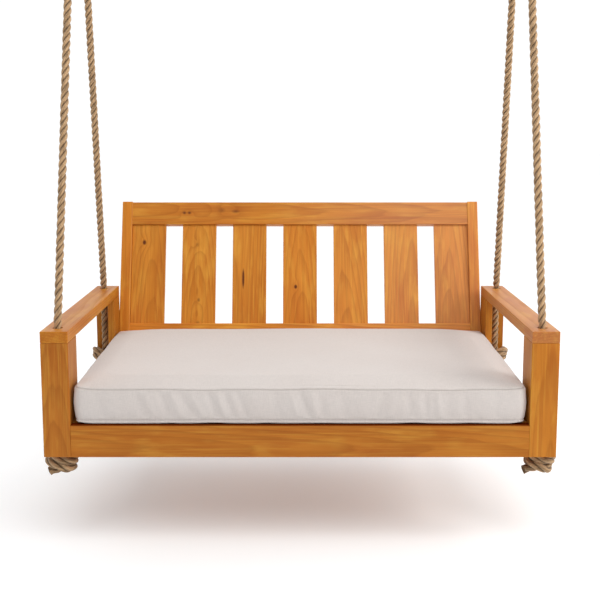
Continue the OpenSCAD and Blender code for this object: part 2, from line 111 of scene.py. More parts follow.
def frames_along(P, first=(1.0, 0.0, 0.0)):
    T = np.gradient(P, axis=0)
    T /= np.linalg.norm(T, axis=1)[:, None]
    N = np.zeros_like(P)
    n = np.array(first, float)
    n -= n.dot(T[0]) * T[0]
    n /= np.linalg.norm(n)
    N[0] = n
    for i in range(1, len(P)):
        n = N[i - 1] - N[i - 1].dot(T[i]) * T[i]
        N[i] = n / np.linalg.norm(n)
    return T, N, np.cross(T, N)


# ------------------------------------------------------------------ rope
# A three-strand rope: its outline is three rounded strands, which turn to the right
# along it. The mesh follows the strands, so that the grooves between them are crisp.
ROPE_CREST = 0.0276               # over the crests of the strands
LAY, LAY_REAR = 0.086, 0.078


def outline(n_per_strand, R, swell=0.565):
    c = (1 - swell) * R
    rs = swell * R
    al = (np.arange(n_per_strand) / n_per_strand - 0.5) * (2 * math.pi / 3)
    # closer together near the groove
    al = al * (0.82 + 0.18 * (np.abs(al) / (math.pi / 3)))
    rho = c * np.cos(al) + np.sqrt(rs * rs - (c * np.sin(al)) ** 2)
    # painted shade: how far the rope's colour is darkened towards the grooves between the strands
    painted_groove_shade = np.clip((np.abs(al) / (math.pi / 3) - 0.50) / 0.50, 0, 1) ** 1.4
    ang, rad, beta = [], [], []
    for k in range(3):
        ang.append(al + k * 2 * math.pi / 3)
        rad.append(rho)
        beta.append(np.arctan2(rho * np.sin(al), rho * np.cos(al) - c))
    return np.concatenate(ang), np.concatenate(rad), np.concatenate(beta), rs, np.tile(painted_groove_shade, 3)


YARN = 0.0029


def rope_mesh(name, points, mats, d=ROPE_CREST, lay=LAY, phase=0.0, n=14, step=0.0024,
              cut_start=False, cut_end=False, seed=1, squeeze=None, first=(1.0, 0.0, 0.0)):
    P, s = resample(np.asarray(points, float), step)
    T, N, B = frames_along(P, first)
    ang, rad, beta, rs, painted_groove_shade = outline(n, d / 2)
    m, K = len(P), len(ang)
    rng = np.random.RandomState(seed)
    # slow unevenness of each strand along the rope
    wob = np.zeros((m, 3))
    for k in range(3):
        for f in (0.31, 0.117, 0.053):
            wob[:, k] += rng.uniform(0.2, 0.5) * np.sin(2 * math.pi * s / f + rng.uniform(0, 6.28))
    wob *= 0.00035
    V = np.zeros((m, K, 3))
    if callable(lay):
        rate = 2 * math.pi / np.array([lay(v) for v in s])
        phi = phase + np.r_[0, np.cumsum((rate[1:] + rate[:-1]) / 2 * np.diff(s))]
    else:
        phi = phase + 2 * math.pi * s / lay
    which = np.repeat(np.arange(3), n)
    for i in range(m):
        r = rad * (1.0 if squeeze is None else squeeze(s[i]))
        r = r + wob[i][which] * (np.cos(beta) > 0)
        if cut_end:
            e = (s[-1] - s[i]) / 0.012
            if e < 1:
                r = r * (1 + 0.10 * (1 - e) ** 2)
        if cut_start:
            e = s[i] / 0.012
            if e < 1:
                r = r * (1 + 0.10 * (1 - e) ** 2)
        a = ang + phi[i]
        V[i] = P[i] + r[:, None] * (np.cos(a)[:, None] * N[i] + np.sin(a)[:, None] * B[i])
    verts = list(V.reshape(-1, 3))
    faces, uvs, slots = [], [], []
    bu = beta * rs / YARN
    for i in range(m - 1):
        for k in range(K):
            k2 = (k + 1) % K
            faces.append((i * K + k, i * K + k2, (i + 1) * K + k2, (i + 1) * K + k))
            b1 = bu[k]
            b2 = bu[k2] if which[k2] == which[k] else bu[k] + (bu[1] - bu[0])
            off = which[k] * 37.0
            uvs += [(b1 + off, s[i] / YARN), (b2 + off, s[i] / YARN),
                    (b2 + off, s[i + 1] / YARN), (b1 + off, s[i + 1] / YARN)]
            slots.append(0)

    def cap(i, sign):
        # a cut end: rings of fibres that stand a little unevenly
        base = i * K
        prev = [base + k for k in range(K)]
        centre = P[i]
        t = T[i] * sign
        for q, ring in enumerate((0.82, 0.6, 0.36, 0.14)):
            cur = []
            for k in range(K):
                p = centre + (V[i, k] - centre) * ring
                p = p + t * (0.0006 + 0.0034 * rng.rand() * (1.1 - ring))
                verts.append(p)
                cur.append(len(verts) - 1)
            for k in range(K):
                k2 = (k + 1) % K
                f = (prev[k], prev[k2], cur[k2], cur[k]) if sign > 0 else (prev[k], cur[k], cur[k2], prev[k2])
                faces.append(f)
                uvs.extend([(k, q)] * 4)
                slots.append(1)
            prev = cur
        verts.append(centre + t * 0.001)
        c = len(verts) - 1
        for k in range(K):
            k2 = (k + 1) % K
            faces.append((prev[k], prev[k2], c) if sign > 0 else (prev[k], c, prev[k2]))
            uvs.extend([(k, 9)] * 3)
            slots.append(1)

    cap(m - 1, 1)
    cap(0, -1)
    ob = link_mesh(name, verts, faces)
    me = ob.data
    layer = me.uv_layers.new(name="yarn")
    layer.data.foreach_set("uv", np.array(uvs, float).reshape(-1))
    # the groove attribute carries painted shade for the material
    groove = me.attributes.new("groove", "FLOAT", "POINT")
    vals = np.full(len(me.vertices), 0.25)
    vals[:m * K] = np.tile(painted_groove_shade, m)
    if cut_end:
        # painted shade: towards the cut the rope darkens in stripes round it, for the shade between the loosened yarns
        # and round the knot's tail
        near = np.clip(1 - (s[-1] - s) / 0.034, 0, 1)[:, None]
        tail_shade_stripes = 0.30 + 0.35 * np.sin(np.arange(K) * 2.4 + 0.7)[None, :]
        vals[:m * K] = np.maximum(np.tile(painted_groove_shade, (m, 1)), np.clip(tail_shade_stripes, 0, 1) * np.minimum(1, 1.8 * near)).reshape(-1)
    groove.data.foreach_set("value", vals)
    for mt in mats:
        me.materials.append(mt)
    me.polygons.foreach_set("material_index", slots)
    return ob, s[-1], P


# ------------------------------------------------------------------ node material helpers
def new_mat(name):
    m = bpy.data.materials.new(name)
    m.use_nodes = True
    nt = m.node_tree
    bsdf = [x for x in nt.nodes if x.type == "BSDF_PRINCIPLED"][0]
    return m, nt, bsdf


def N_(nt, kind, **props):
    n = nt.nodes.new(kind)
    for k, v in props.items():
        setattr(n, k, v)
    return n


def math_(nt, op, a, b=None, clamp=False):
    n = N_(nt, "ShaderNodeMath", operation=op, use_clamp=clamp)
    for i, v in enumerate((a, b)):
        if v is None:
            continue
        if isinstance(v, (int, float)):
            n.inputs[i].default_value = v
        else:
            nt.links.new(v, n.inputs[i])
    return n.outputs[0]


def vmath(nt, op, a, b=None):
    n = N_(nt, "ShaderNodeVectorMath", operation=op)
    for i, v in enumerate((a, b)):
        if v is None:
            continue
        if isinstance(v, (tuple, list)):
            n.inputs[i].default_value = v
        else:
            nt.links.new(v, n.inputs[i])
    return n.outputs["Value"] if op in ("LENGTH", "DOT_PRODUCT", "DISTANCE") else n.outputs[0]


def mix_(nt, fac, a, b, blend="MIX"):
    n = N_(nt, "ShaderNodeMix", data_type="RGBA", blend_type=blend)
    for sock, v in ((n.inputs[0], fac), (n.inputs[6], a), (n.inputs[7], b)):
        if isinstance(v, (int, float)):
            sock.default_value = v
        elif isinstance(v, (tuple, list)):
            sock.default_value = (*v, 1.0) if len(v) == 3 else v
        else:
            nt.links.new(v, sock)
    return n.outputs[2]


def noise_(nt, vec, scale, detail=2.0, rough=0.5, dist=0.0):
    n = N_(nt, "ShaderNodeTexNoise")
    nt.links.new(vec, n.inputs["Vector"])
    n.inputs["Scale"].default_value = scale
    n.inputs["Detail"].default_value = detail
    n.inputs["Roughness"].default_value = rough
    n.inputs["Distortion"].default_value = dist
    return n.outputs["Fac"], n.outputs["Color"]


def ramp_(nt, fac, stops, interp="LINEAR"):
    n = N_(nt, "ShaderNodeValToRGB")
    cr = n.color_ramp
    cr.interpolation = interp
    while len(cr.elements) < len(stops):
        cr.elements.new(0.5)
    for e, (pos, col) in zip(cr.elements, stops):
        e.position = pos
        e.color = (*col, 1.0) if len(col) == 3 else col
    nt.links.new(fac, n.inputs[0])
    return n.outputs[0]


def grey(v):
    return (v, v, v)


# ------------------------------------------------------------------ rope material
def rope_material(name, tone=1.0, lines=0.60, worn_part=0.52):
    m, nt, bsdf = new_mat(name)
    uv = N_(nt, "ShaderNodeUVMap", uv_map="yarn")
    sep = N_(nt, "ShaderNodeSeparateXYZ")
    nt.links.new(uv.outputs[0], sep.inputs[0])
    u, v = sep.outputs[0], sep.outputs[1]
    # yarns lie nearly along the rope, so they cross each strand the other way
    q = math_(nt, "ADD", u, math_(nt, "MULTIPLY", v, 0.50))
    yarn = math_(nt, "ABSOLUTE", math_(nt, "SINE", math_(nt, "MULTIPLY", q, math.pi)))
    comb = N_(nt, "ShaderNodeCombineXYZ")
    nt.links.new(math_(nt, "MULTIPLY", q, 3.2), comb.inputs[0])
    nt.links.new(math_(nt, "MULTIPLY", v, 0.16), comb.inputs[1])
    fib, _ = noise_(nt, comb.outputs[0], 1.0, 4.0, 0.65)
    comb2 = N_(nt, "ShaderNodeCombineXYZ")
    nt.links.new(math_(nt, "MULTIPLY", q, 0.55), comb2.inputs[0])
    nt.links.new(math_(nt, "MULTIPLY", v, 0.035), comb2.inputs[1])
    slow, _ = noise_(nt, comb2.outputs[0], 1.0, 2.0, 0.5)
    base = ramp_(nt, fib, [(0.28, (0.235 * tone, 0.127 * tone, 0.053 * tone)),
                           (0.48, (0.600 * tone, 0.365 * tone, 0.182 * tone)),
                           (0.68, (0.930 * tone, 0.640 * tone, 0.380 * tone))])
    base = mix_(nt, math_(nt, "MULTIPLY", slow, 0.35), base, (0.68, 0.46, 0.27), "MIX")
    # worn and darker yarns
    comb3 = N_(nt, "ShaderNodeCombineXYZ")
    nt.links.new(math_(nt, "MULTIPLY", q, 0.42), comb3.inputs[0])
    nt.links.new(math_(nt, "MULTIPLY", v, 0.055), comb3.inputs[1])
    worn, _ = noise_(nt, comb3.outputs[0], 1.0, 2.0, 0.6)
    base = mix_(nt, ramp_(nt, worn, [(worn_part - 0.16, grey(0.62)), (worn_part, grey(0.0))]), base, (0.135, 0.078, 0.034))
    base = mix_(nt, math_(nt, "MULTIPLY", math_(nt, "SUBTRACT", 1.0, yarn), lines), base, (0.135, 0.076, 0.030))
    # painted shade: the grooves between the strands darkened, and the stripes before a cut end
    painted_groove_shade = N_(nt, "ShaderNodeAttribute", attribute_name="groove").outputs["Fac"]
    base = mix_(nt, math_(nt, "MULTIPLY", painted_groove_shade, 0.93), base, (0.050, 0.026, 0.010))
    nt.links.new(base, bsdf.inputs["Base Color"])
    bsdf.inputs["Roughness"].default_value = 0.85
    bsdf.inputs["Specular IOR Level"].default_value = 0.25
    bsdf.inputs["Sheen Weight"].default_value = 0.25
    bsdf.inputs["Sheen Roughness"].default_value = 0.5
    h = math_(nt, "ADD", math_(nt, "MULTIPLY", yarn, 0.6), math_(nt, "MULTIPLY", fib, 0.5))
    bump = N_(nt, "ShaderNodeBump")
    bump.inputs["Strength"].default_value = 0.7
    bump.inputs["Distance"].default_value = 0.0008
    nt.links.new(h, bump.inputs["Height"])
    nt.links.new(bump.outputs[0], bsdf.inputs["Normal"])
    return m


def cut_material(name):
    m, nt, bsdf = new_mat(name)
    tc = N_(nt, "ShaderNodeTexCoord")
    f, _ = noise_(nt, tc.outputs["Object"], 700.0, 3.0, 0.7)
    col = ramp_(nt, f, [(0.35, (0.035, 0.02, 0.01)), (0.55, (0.17, 0.10, 0.05)), (0.75, (0.42, 0.29, 0.17))])
    nt.links.new(col, bsdf.inputs["Base Color"])
    bsdf.inputs["Roughness"].default_value = 0.95
    bsdf.inputs["Specular IOR Level"].default_value = 0.15
    bump = N_(nt, "ShaderNodeBump")
    bump.inputs["Strength"].default_value = 0.9
    bump.inputs["Distance"].default_value = 0.001
    nt.links.new(f, bump.inputs["Height"])
    nt.links.new(bump.outputs[0], bsdf.inputs["Normal"])
    return m


ROPE = rope_material("rope_fibre")
ROPE_WORN = rope_material("rope_fibre_knotted", tone=1.01, lines=0.85, worn_part=0.57)
ROPE_CUT = cut_material("rope_cut_end")

# ------------------------------------------------------------------ the ropes' routes
ARM_TOP, HIDE, PIN_Z, BEND = 418.0, 14.0, 1750.0, 50.0
RISE = (PIN_Z - ARM_TOP) / (MEET[2] - ARM_TOP)
MEET_X = 780.5
ROPE_F, ROPE_R = (794.0, 70.0), (799.0, 978.0)
PIN_F = tuple(p + RISE * (q - p) for p, q in zip(ROPE_F, (MEET_X, MEET[1])))
PIN_R = tuple(p + RISE * (q - p) for p, q in zip(ROPE_R, (MEET_X, MEET[1])))
EYE = [(-200, 0), (-150, 0), (-122, -6), (-70, -27), (-15, -48),
       (8, -50), (30, -41), (45, -23), (51, 0), (45, 23), (30, 41), (8, 50), (-15, 48),
       (-70, 37), (-122, 27), (-150, 26), (-196, 26)]


def free_route(p, q, side, mx):
    a = math.atan2(q[1] - p[1], PIN_Z - ARM_TOP)
    g = 1 if a > 0 else -1
    b = abs(a)
    k = BEND * math.tan(b / 2)
    pts = [(p[0], p[1], ARM_TOP - HIDE), (p[0], p[1], ARM_TOP - k - 3)]
    for i in range(9):
        c = b * i / 8
        pts.append((p[0], p[1] + g * BEND * (1 - math.cos(c)), ARM_TOP - k + BEND * math.sin(c)))
    z0 = pts[-1]
    eye = [(q[0], q[1] + e[0] * math.sin(a) + side * e[1] * math.cos(a),
            PIN_Z + e[0] * math.cos(a) - side * e[1] * math.sin(a)) for e in EYE]
    end = eye[0]
    straight = [tuple(np.array(z0) + (np.array(end) - np.array(z0)) * t) for t in np.linspace(0, 1, 24)[1:-1]]
    low = [np.array(x) for x in pts + straight]
    high = catmull(eye, 14)
    # round the thimble's groove: a smooth curve through the eye's listed points
    P = np.vstack([low, high])
    P[:, 0] *= mx
    return np.array([S(*x) for x in P])


def lower_route(p, mx, knot):
    P = [(mx * p[0], p[1], ARM_TOP - HIDE - 1.0), (mx * p[0], p[1], ARM_TOP - 60)]
    return P


# The knots, in millimetres from the middle of the rope hole at the post's foot:
# X to the right, Y back, Z up. Two round turns under the post, and the end tucked
# through below them.
KNOT_FL = [(0, 0, 60), (0, 0, 30), (0, 0, 10), (0, 3, -3), (-8, 13, -11), (-20, 16, -12), (-30, 4, -13),
           (-27, -14, -13), (-12, -28, -15), (10, -33, -20), (32, -24, -26), (43, -4, -26), (37, 18, -26),
           (17, 31, -26), (-8, 33, -26), (-30, 26, -27), (-41, 8, -27), (-38, -12, -29), (-21, -29, -35),
           (5, -35, -42), (28, -29, -50), (40, -11, -44), (31, 9, -43), (12, 13, -46), (-3, 3, -51),
           (-13, -9, -56), (-25, -17, -58), (-37, -20, -63)]
KNOT_FR = [(0, 0, 60), (0, 0, 30), (0, 0, 10), (2, 3, -3), (-4, 13, -11), (-14, 16, -12), (-22, 3, -12),
           (-19, -15, -13), (-4, -28, -16), (18, -33, -20), (36, -24, -21), (44, -4, -21), (39, 17, -22),
           (22, 31, -25), (-2, 33, -26), (-22, 24, -28), (-33, 8, -29), (-32, -12, -33), (-15, -30, -38),
           (6, -36, -45), (21, -31, -52), (33, -13, -44), (29, 6, -43), (13, 11, -46), (-3, 3, -49),
           (-18, -8, -52), (-35, -15, -53), (-52, -19, -56)]
# The rear knots fill the open corner of the post and bear on both its boards.
KNOT_RR = [(0, 0, 60), (0, 0, 30), (0, 0, 2), (-2, 5, -13), (-10, 15, -21), (-23, 8, -22), (-22, -10, -18),
           (-8, -21, -12), (12, -27, -3), (31, -20, 4), (39, -5, 4), (40, 9, -7), (35, 22, -16), (18, 30, -17),
           (-2, 31, -19), (-22, 22, -24), (-29, 2, -29), (-16, -19, -33), (7, -28, -31), (27, -22, -23),
           (38, -7, -19), (31, 8, -25), (14, 12, -33), (-2, 6, -38)]


def knot_lay(start, laid):
    # the strands open where the rope is bent hard round itself
    def lay(v):
        t = min(1.0, max(0.0, (v - start) / 0.06))
        return laid + (0.150 - laid) * t * t * (3 - 2 * t)
    return lay


def knot_swell(start):
    def swell(v):
        t = min(1.0, max(0.0, (v - start) / 0.05))
        return 1.0 + 0.07 * t * t * (3 - 2 * t)
    return swell


pieces_to_check = []


def add_free_rope(name, p, q, side, mx, body, node, thimbles, phase, seed):
    P = free_route(p, q, side, mx)

    def pinched(v):
        # drawn together where it runs into the arm, so that it clears the hole as it swings
        t = min(1.0, max(0.0, (0.034 - v) / 0.014))
        return 1.0 - 0.105 * t * t * (3 - 2 * t)

    ob, length, path = rope_mesh(name, P, [ROPE, ROPE_CUT], phase=phase, seed=seed, cut_end=True, squeeze=pinched,
                                 lay=LAY_REAR if "rear" in name else LAY, step=0.0024)
    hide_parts(node)
    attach(ob, body)
    return ob, length, path


free = {}
for nm, p, q, side, mx, body, ph, seed in (
        ("front_left", ROPE_F, PIN_F, 1, -1, "front_ropes", 0.3, 11),
        ("front_right", ROPE_F, PIN_F, 1, 1, "front_ropes", 1.9, 12),
        ("rear_left", ROPE_R, PIN_R, -1, -1, "rear_ropes", 2.7, 13),
        ("rear_right", ROPE_R, PIN_R, -1, 1, "rear_ropes", 4.4, 14)):
    free[nm] = add_free_rope("hanging_rope_" + nm, p, q, side, mx, body, "rope_" + nm, None, ph, seed)


def add_rope_end(nm, p, mx, foot, knot, seed, phase):
    top = np.array([[mx * p[0], p[1], ARM_TOP - HIDE - 1.0], [mx * p[0], p[1], (ARM_TOP + foot) / 2 + 20],
                    [mx * p[0], p[1], foot + 90]])
    K = np.array(knot, float) + np.array([mx * p[0], p[1], foot])
    P = np.vstack([np.linspace(top[0], top[1], 8), np.linspace(top[1], top[2], 6)[1:], catmull(K, 10)])
    P = np.array([S(*x) for x in P])
    ob, length, path = rope_mesh("rope_end_and_knot_" + nm, P, [ROPE_WORN, ROPE_CUT], seed=seed, cut_end=True,
                                 phase=phase, step=0.0022,
                                 lay=knot_lay((ARM_TOP - HIDE - foot) / 1000.0, LAY_REAR if foot else LAY),
                                 squeeze=knot_swell((ARM_TOP - HIDE - foot) / 1000.0))
    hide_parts("rope_end_" + nm)
    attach(ob, "bed")
    return ob, length


ends = {}
ends["front_left"] = add_rope_end("front_left", ROPE_F, -1, 0.0, KNOT_FL, 21, 0.3)
ends["front_right"] = add_rope_end("front_right", ROPE_F, 1, 0.0, KNOT_FR, 22, 1.9)
ends["rear_right"] = add_rope_end("rear_right", ROPE_R, 1, 160.0, KNOT_RR, 24, 4.4)
KNOT_RL = [(-x, y, z) for x, y, z in KNOT_RR]
ends["rear_left"] = add_rope_end("rear_left", ROPE_R, -1, 160.0, KNOT_RL, 23, 2.7)


# ------------------------------------------------------------------ seizings
def seizing(nm, p, q, side, mx, body, node, seed):
    a = math.atan2(q[1] - p[1], PIN_Z - ARM_TOP)
    wire = 3.0
    turns = 11
    pts = []
    r = 12.5 + wire / 2 + 0.2
    per = 36
    for i in range(turns * per + 1):
        t = i / per
        w = 2 * math.pi * (t % 1.0)
        # a stadium round the rope's two parts
        x, y = r * math.cos(w), r * math.sin(w)
        y = y + (26 if math.sin(w) > 0 else 0) if abs(math.sin(w)) > 1e-9 else y
        z = -188 + wire / 2 + (40 - wire) * (t / turns) - 0.0
        pts.append((x, side * y, z))
    pts = np.array(pts)
    # straight runs across between the two parts come from the jump in y
    out = []
    for i in range(len(pts)):
        X, Y, Z = pts[i]
        Yr = q[1] + Y * math.cos(a) + Z * math.sin(a)
        Zr = PIN_Z - Y * math.sin(a) + Z * math.cos(a)
        out.append(S(mx * (q[0] + X), Yr, Zr))
    out = np.array(out)
    P, s = resample(out, 0.0016)
    T, N, B = frames_along(P)
    k = np.arange(8) * 2 * math.pi / 8
    V = P[:, None, :] + (wire / 2000.0) * (np.cos(k)[None, :, None] * N[:, None, :] + np.sin(k)[None, :, None] * B[:, None, :])
    m = len(P)
    faces = [(i * 8 + j, i * 8 + (j + 1) % 8, (i + 1) * 8 + (j + 1) % 8, (i + 1) * 8 + j) for i in range(m - 1) for j in range(8)]
    faces.append(tuple(range(7, -1, -1)))
    faces.append(tuple((m - 1) * 8 + j for j in range(8)))
    ob = link_mesh("seizing_" + nm, V.reshape(-1, 3), faces)
    ob.data.materials.append(TWINE)
    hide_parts(node)
    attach(ob, body)
    return ob


def twine_material():
    m, nt, bsdf = new_mat("seizing_twine")
    tc = N_(nt, "ShaderNodeTexCoord")
    f, _ = noise_(nt, tc.outputs["Object"], 420.0, 4.0, 0.6)
    col = ramp_(nt, f, [(0.3, (0.10, 0.06, 0.03)), (0.6, (0.27, 0.18, 0.10)), (0.8, (0.40, 0.29, 0.17))])
    nt.links.new(col, bsdf.inputs["Base Color"])
    bsdf.inputs["Roughness"].default_value = 0.8
    bump = N_(nt, "ShaderNodeBump")
    bump.inputs["Strength"].default_value = 0.6
    bump.inputs["Distance"].default_value = 0.0004
    nt.links.new(f, bump.inputs["Height"])
    nt.links.new(bump.outputs[0], bsdf.inputs["Normal"])
    return m


TWINE = twine_material()
seiz = {
    "front_left": seizing("front_left", ROPE_F, PIN_F, 1, -1, "front_ropes", "front_seizings", 1),
    "front_right": seizing("front_right", ROPE_F, PIN_F, 1, 1, "front_ropes", "front_seizings", 2),
    "rear_left": seizing("rear_left", ROPE_R, PIN_R, -1, -1, "rear_ropes", "rear_seizings", 3),
    "rear_right": seizing("rear_right", ROPE_R, PIN_R, -1, 1, "rear_ropes", "rear_seizings", 4),
}
for nm, (ob, length, path) in free.items():
    p, mx = (ROPE_F if "front" in nm else ROPE_R), (-1 if "left" in nm else 1)
    th = "front_thimbles" if "front" in nm else "rear_thimbles"
    S(mx * p[0], p[1], ARM_TOP - HIDE)


# ------------------------------------------------------------------ wood
def wood_material(name, along, face, origin, tone=1.0, ring=9.0, pith=(30, 70), tilt=(0.0, 0.02), seed=0.0,
                  knots=(), red=0.0, contrast=1.0, rough=0.42, wave=1.0, streaks=1.0, painted_sheen=0.0, ramp=None, highlight_arris=None, painted_shade=None):
    """along is the grain's direction and face the normal of the board's broad face, in the
    row frame. origin is a point in the board. pith is where the heart of the tree was, in
    mm across and behind the face; tilt how fast it wanders off along the board. knots are
    (mm along, mm across, mm radius, mm half length, darkness)."""
    x = Vector(along).normalized()
    z = Vector(face).normalized()
    y = z.cross(x).normalized()
    z = x.cross(y)
    A = Matrix((x, y, z))
    e = A.to_euler("XYZ")
    loc = -(A @ Vector(origin))
    m, nt, bsdf = new_mat(name)
    tc = N_(nt, "ShaderNodeTexCoord")
    mp = N_(nt, "ShaderNodeMapping", vector_type="POINT")
    mp.inputs["Location"].default_value = loc
    mp.inputs["Rotation"].default_value = e
    nt.links.new(tc.outputs["Object"], mp.inputs["Vector"])
    p = mp.outputs[0]
    # slow wander of the grain
    w1 = vmath(nt, "MULTIPLY", p, (1.3, 6.0, 6.0))
    w1 = vmath(nt, "ADD", w1, (seed * 3.1, seed * 1.7, seed * 0.9))
    _, wc = noise_(nt, w1, 1.0, 2.0, 0.5)
    w = vmath(nt, "MULTIPLY", vmath(nt, "SUBTRACT", wc, (0.5, 0.5, 0.5)), (0.0, 0.030 * wave, 0.030 * wave))
    pw = vmath(nt, "ADD", p, w)
    sep = N_(nt, "ShaderNodeSeparateXYZ")
    nt.links.new(pw, sep.inputs[0])
    X, Y, Z = sep.outputs
    yy = math_(nt, "ADD", math_(nt, "SUBTRACT", Y, pith[0] / 1000.0), math_(nt, "MULTIPLY", X, tilt[0]))
    zz = math_(nt, "ADD", math_(nt, "ADD", Z, pith[1] / 1000.0), math_(nt, "MULTIPLY", X, tilt[1]))
    R = math_(nt, "SQRT", math_(nt, "ADD", math_(nt, "MULTIPLY", yy, yy), math_(nt, "MULTIPLY", zz, zz)))
    core = None
    for (kx, ky, kr, kl, dark) in knots:
        d = vmath(nt, "SUBTRACT", p, (kx / 1000.0, ky / 1000.0, 0.0))
        d = vmath(nt, "MULTIPLY", d, (1000.0 / kl, 1000.0 / kr, 12.0))
        dist = vmath(nt, "LENGTH", d)
        wide = math_(nt, "DIVIDE", dist, 3.2)
        fall = math_(nt, "DIVIDE", 1.0, math_(nt, "ADD", 1.0, math_(nt, "POWER", wide, 3.0)))
        R = math_(nt, "ADD", R, math_(nt, "MULTIPLY", fall, 1.6 * kr / 1000.0))
        c = math_(nt, "MULTIPLY", math_(nt, "SUBTRACT", 1.35, dist, clamp=True), dark, clamp=True)
        core = c if core is None else math_(nt, "MAXIMUM", core, c)
    # growth rings: pale early wood that darkens, then stops sharply at the late wood
    jit, _ = noise_(nt, vmath(nt, "MULTIPLY", p, (0.9, 30.0, 30.0)), 1.0, 2.0, 0.5)
    ph = math_(nt, "ADD", math_(nt, "DIVIDE", R, ring / 1000.0), math_(nt, "MULTIPLY", jit, 0.9))
    fr = math_(nt, "FRACT", ph)
    late = ramp_(nt, fr, [(0.0, grey(0.05)), (0.10, grey(0.0)), (0.5, grey(0.16)), (0.80, grey(0.72)), (0.92, grey(1.0)), (1.0, grey(0.12))])
    # year to year differences
    yr, _ = noise_(nt, vmath(nt, "MULTIPLY", p, (0.2, 45.0, 45.0)), 1.0, 1.0, 0.5)
    late = math_(nt, "MULTIPLY", late, math_(nt, "MULTIPLY_ADD", yr, 1.5, clamp=False))
    # fibres and resin streaks
    fib, _ = noise_(nt, vmath(nt, "ADD", vmath(nt, "MULTIPLY", p, (9.0, 420.0, 420.0)), (seed, 0, 0)), 1.0, 3.0, 0.6)
    strk, _ = noise_(nt, vmath(nt, "ADD", vmath(nt, "MULTIPLY", pw, (1.6, 70.0, 70.0)), (0, seed, 0)), 1.0, 2.0, 0.6)
    blot, _ = noise_(nt, vmath(nt, "ADD", vmath(nt, "MULTIPLY", p, (2.2, 9.0, 9.0)), (seed, seed, 0)), 1.0, 2.0, 0.5)
    t = tone
    light = (0.600 * t, 0.222 * t * (1 - 0.10 * red), 0.024 * t)
    mid = (0.500 * t, 0.165 * t * (1 - 0.14 * red), 0.014 * t)
    dark = (0.290 * t, 0.072 * t * (1 - 0.10 * red), 0.006 * t)
    gold = (0.640 * t, 0.290 * t * (1 - 0.08 * red), 0.036 * t)
    rust = (0.450 * t, 0.118 * t, 0.012 * t)
    patch, _ = noise_(nt, vmath(nt, "ADD", vmath(nt, "MULTIPLY", pw, (6.5, 26.0, 26.0)), (seed * 2.0, 0, seed)), 1.0, 3.0, 0.55)
    hue, _ = noise_(nt, vmath(nt, "ADD", vmath(nt, "MULTIPLY", pw, (3.0, 14.0, 14.0)), (0, seed * 1.3, seed)), 1.0, 2.0, 0.5)
    base = mix_(nt, ramp_(nt, blot, [(0.35, grey(0.0)), (0.65, grey(1.0))]), light, mid)
    base = mix_(nt, ramp_(nt, patch, [(0.50, grey(0.0)), (0.68, grey(0.75))]), base, gold)
    base = mix_(nt, ramp_(nt, hue, [(0.52, grey(0.0)), (0.72, grey(0.55 + 0.3 * red))]), base, rust)
    fine, _ = noise_(nt, vmath(nt, "ADD", vmath(nt, "MULTIPLY", pw, (2.4, 150.0, 150.0)), (seed, seed * 0.7, 0)), 1.0, 2.0, 0.6)
    base = mix_(nt, ramp_(nt, fine, [(0.52, grey(0.0)), (0.66, grey(0.55 * streaks))]), base, gold)
    base = mix_(nt, math_(nt, "MULTIPLY", math_(nt, "SUBTRACT", strk, 0.46, clamp=True), 1.1 * contrast, clamp=True), base, dark)
    base = mix_(nt, math_(nt, "MULTIPLY", late, 0.26 * contrast, clamp=True), base, dark)
    base = mix_(nt, math_(nt, "MULTIPLY", math_(nt, "SUBTRACT", 0.5, fib, clamp=True), 1.1, clamp=True), base, dark)
    if core is not None:
        base = mix_(nt, core, base, (0.120, 0.024, 0.005))
    # painted sheen: a board lightened and cooled evenly, or more and more along its length (ramp, in mm), for the soft
    # reflection of the lamps on the right-hand boards
    if painted_sheen:
        amount = painted_sheen
        if ramp:
            amount = math_(nt, "MULTIPLY", ramp_(nt, math_(nt, "DIVIDE", math_(nt, "SUBTRACT", sep.outputs[0], ramp[0] / 1000.0),
                                                           (ramp[1] - ramp[0]) / 1000.0), [(0.0, grey(0.0)), (1.0, grey(1.0))]), painted_sheen)
        base = mix_(nt, amount, base, (0.022, 0.032, 0.052), "ADD")
    # painted highlight: a light line along the board at the given arris, where its rounded edge catches the light
    if highlight_arris:
        ps = N_(nt, "ShaderNodeSeparateXYZ")
        nt.links.new(p, ps.inputs[0])
        ey = math_(nt, "DIVIDE", math_(nt, "ABSOLUTE", math_(nt, "SUBTRACT", ps.outputs[1], highlight_arris[0] / 1000.0)), 0.0036)
        ez = math_(nt, "DIVIDE", math_(nt, "ABSOLUTE", math_(nt, "SUBTRACT", ps.outputs[2], highlight_arris[1] / 1000.0)), 0.0045)
        edge = math_(nt, "SUBTRACT", 1.0, math_(nt, "MAXIMUM", ey, ez), clamp=True)
        base = mix_(nt, math_(nt, "MULTIPLY", edge, 2.0, clamp=True), base, (0.80, 0.47, 0.20))
    # end grain drinks more stain
    geo = N_(nt, "ShaderNodeNewGeometry")
    ends_ = math_(nt, "ABSOLUTE", vmath(nt, "DOT_PRODUCT", geo.outputs["Normal"], tuple(x)))
    ends_ = math_(nt, "MULTIPLY", math_(nt, "SUBTRACT", ends_, 0.75, clamp=True), 1.6, clamp=True)
    base = mix_(nt, ends_, base, mix_(nt, 1.0, base, (0.70, 0.60, 0.52), "MULTIPLY"))
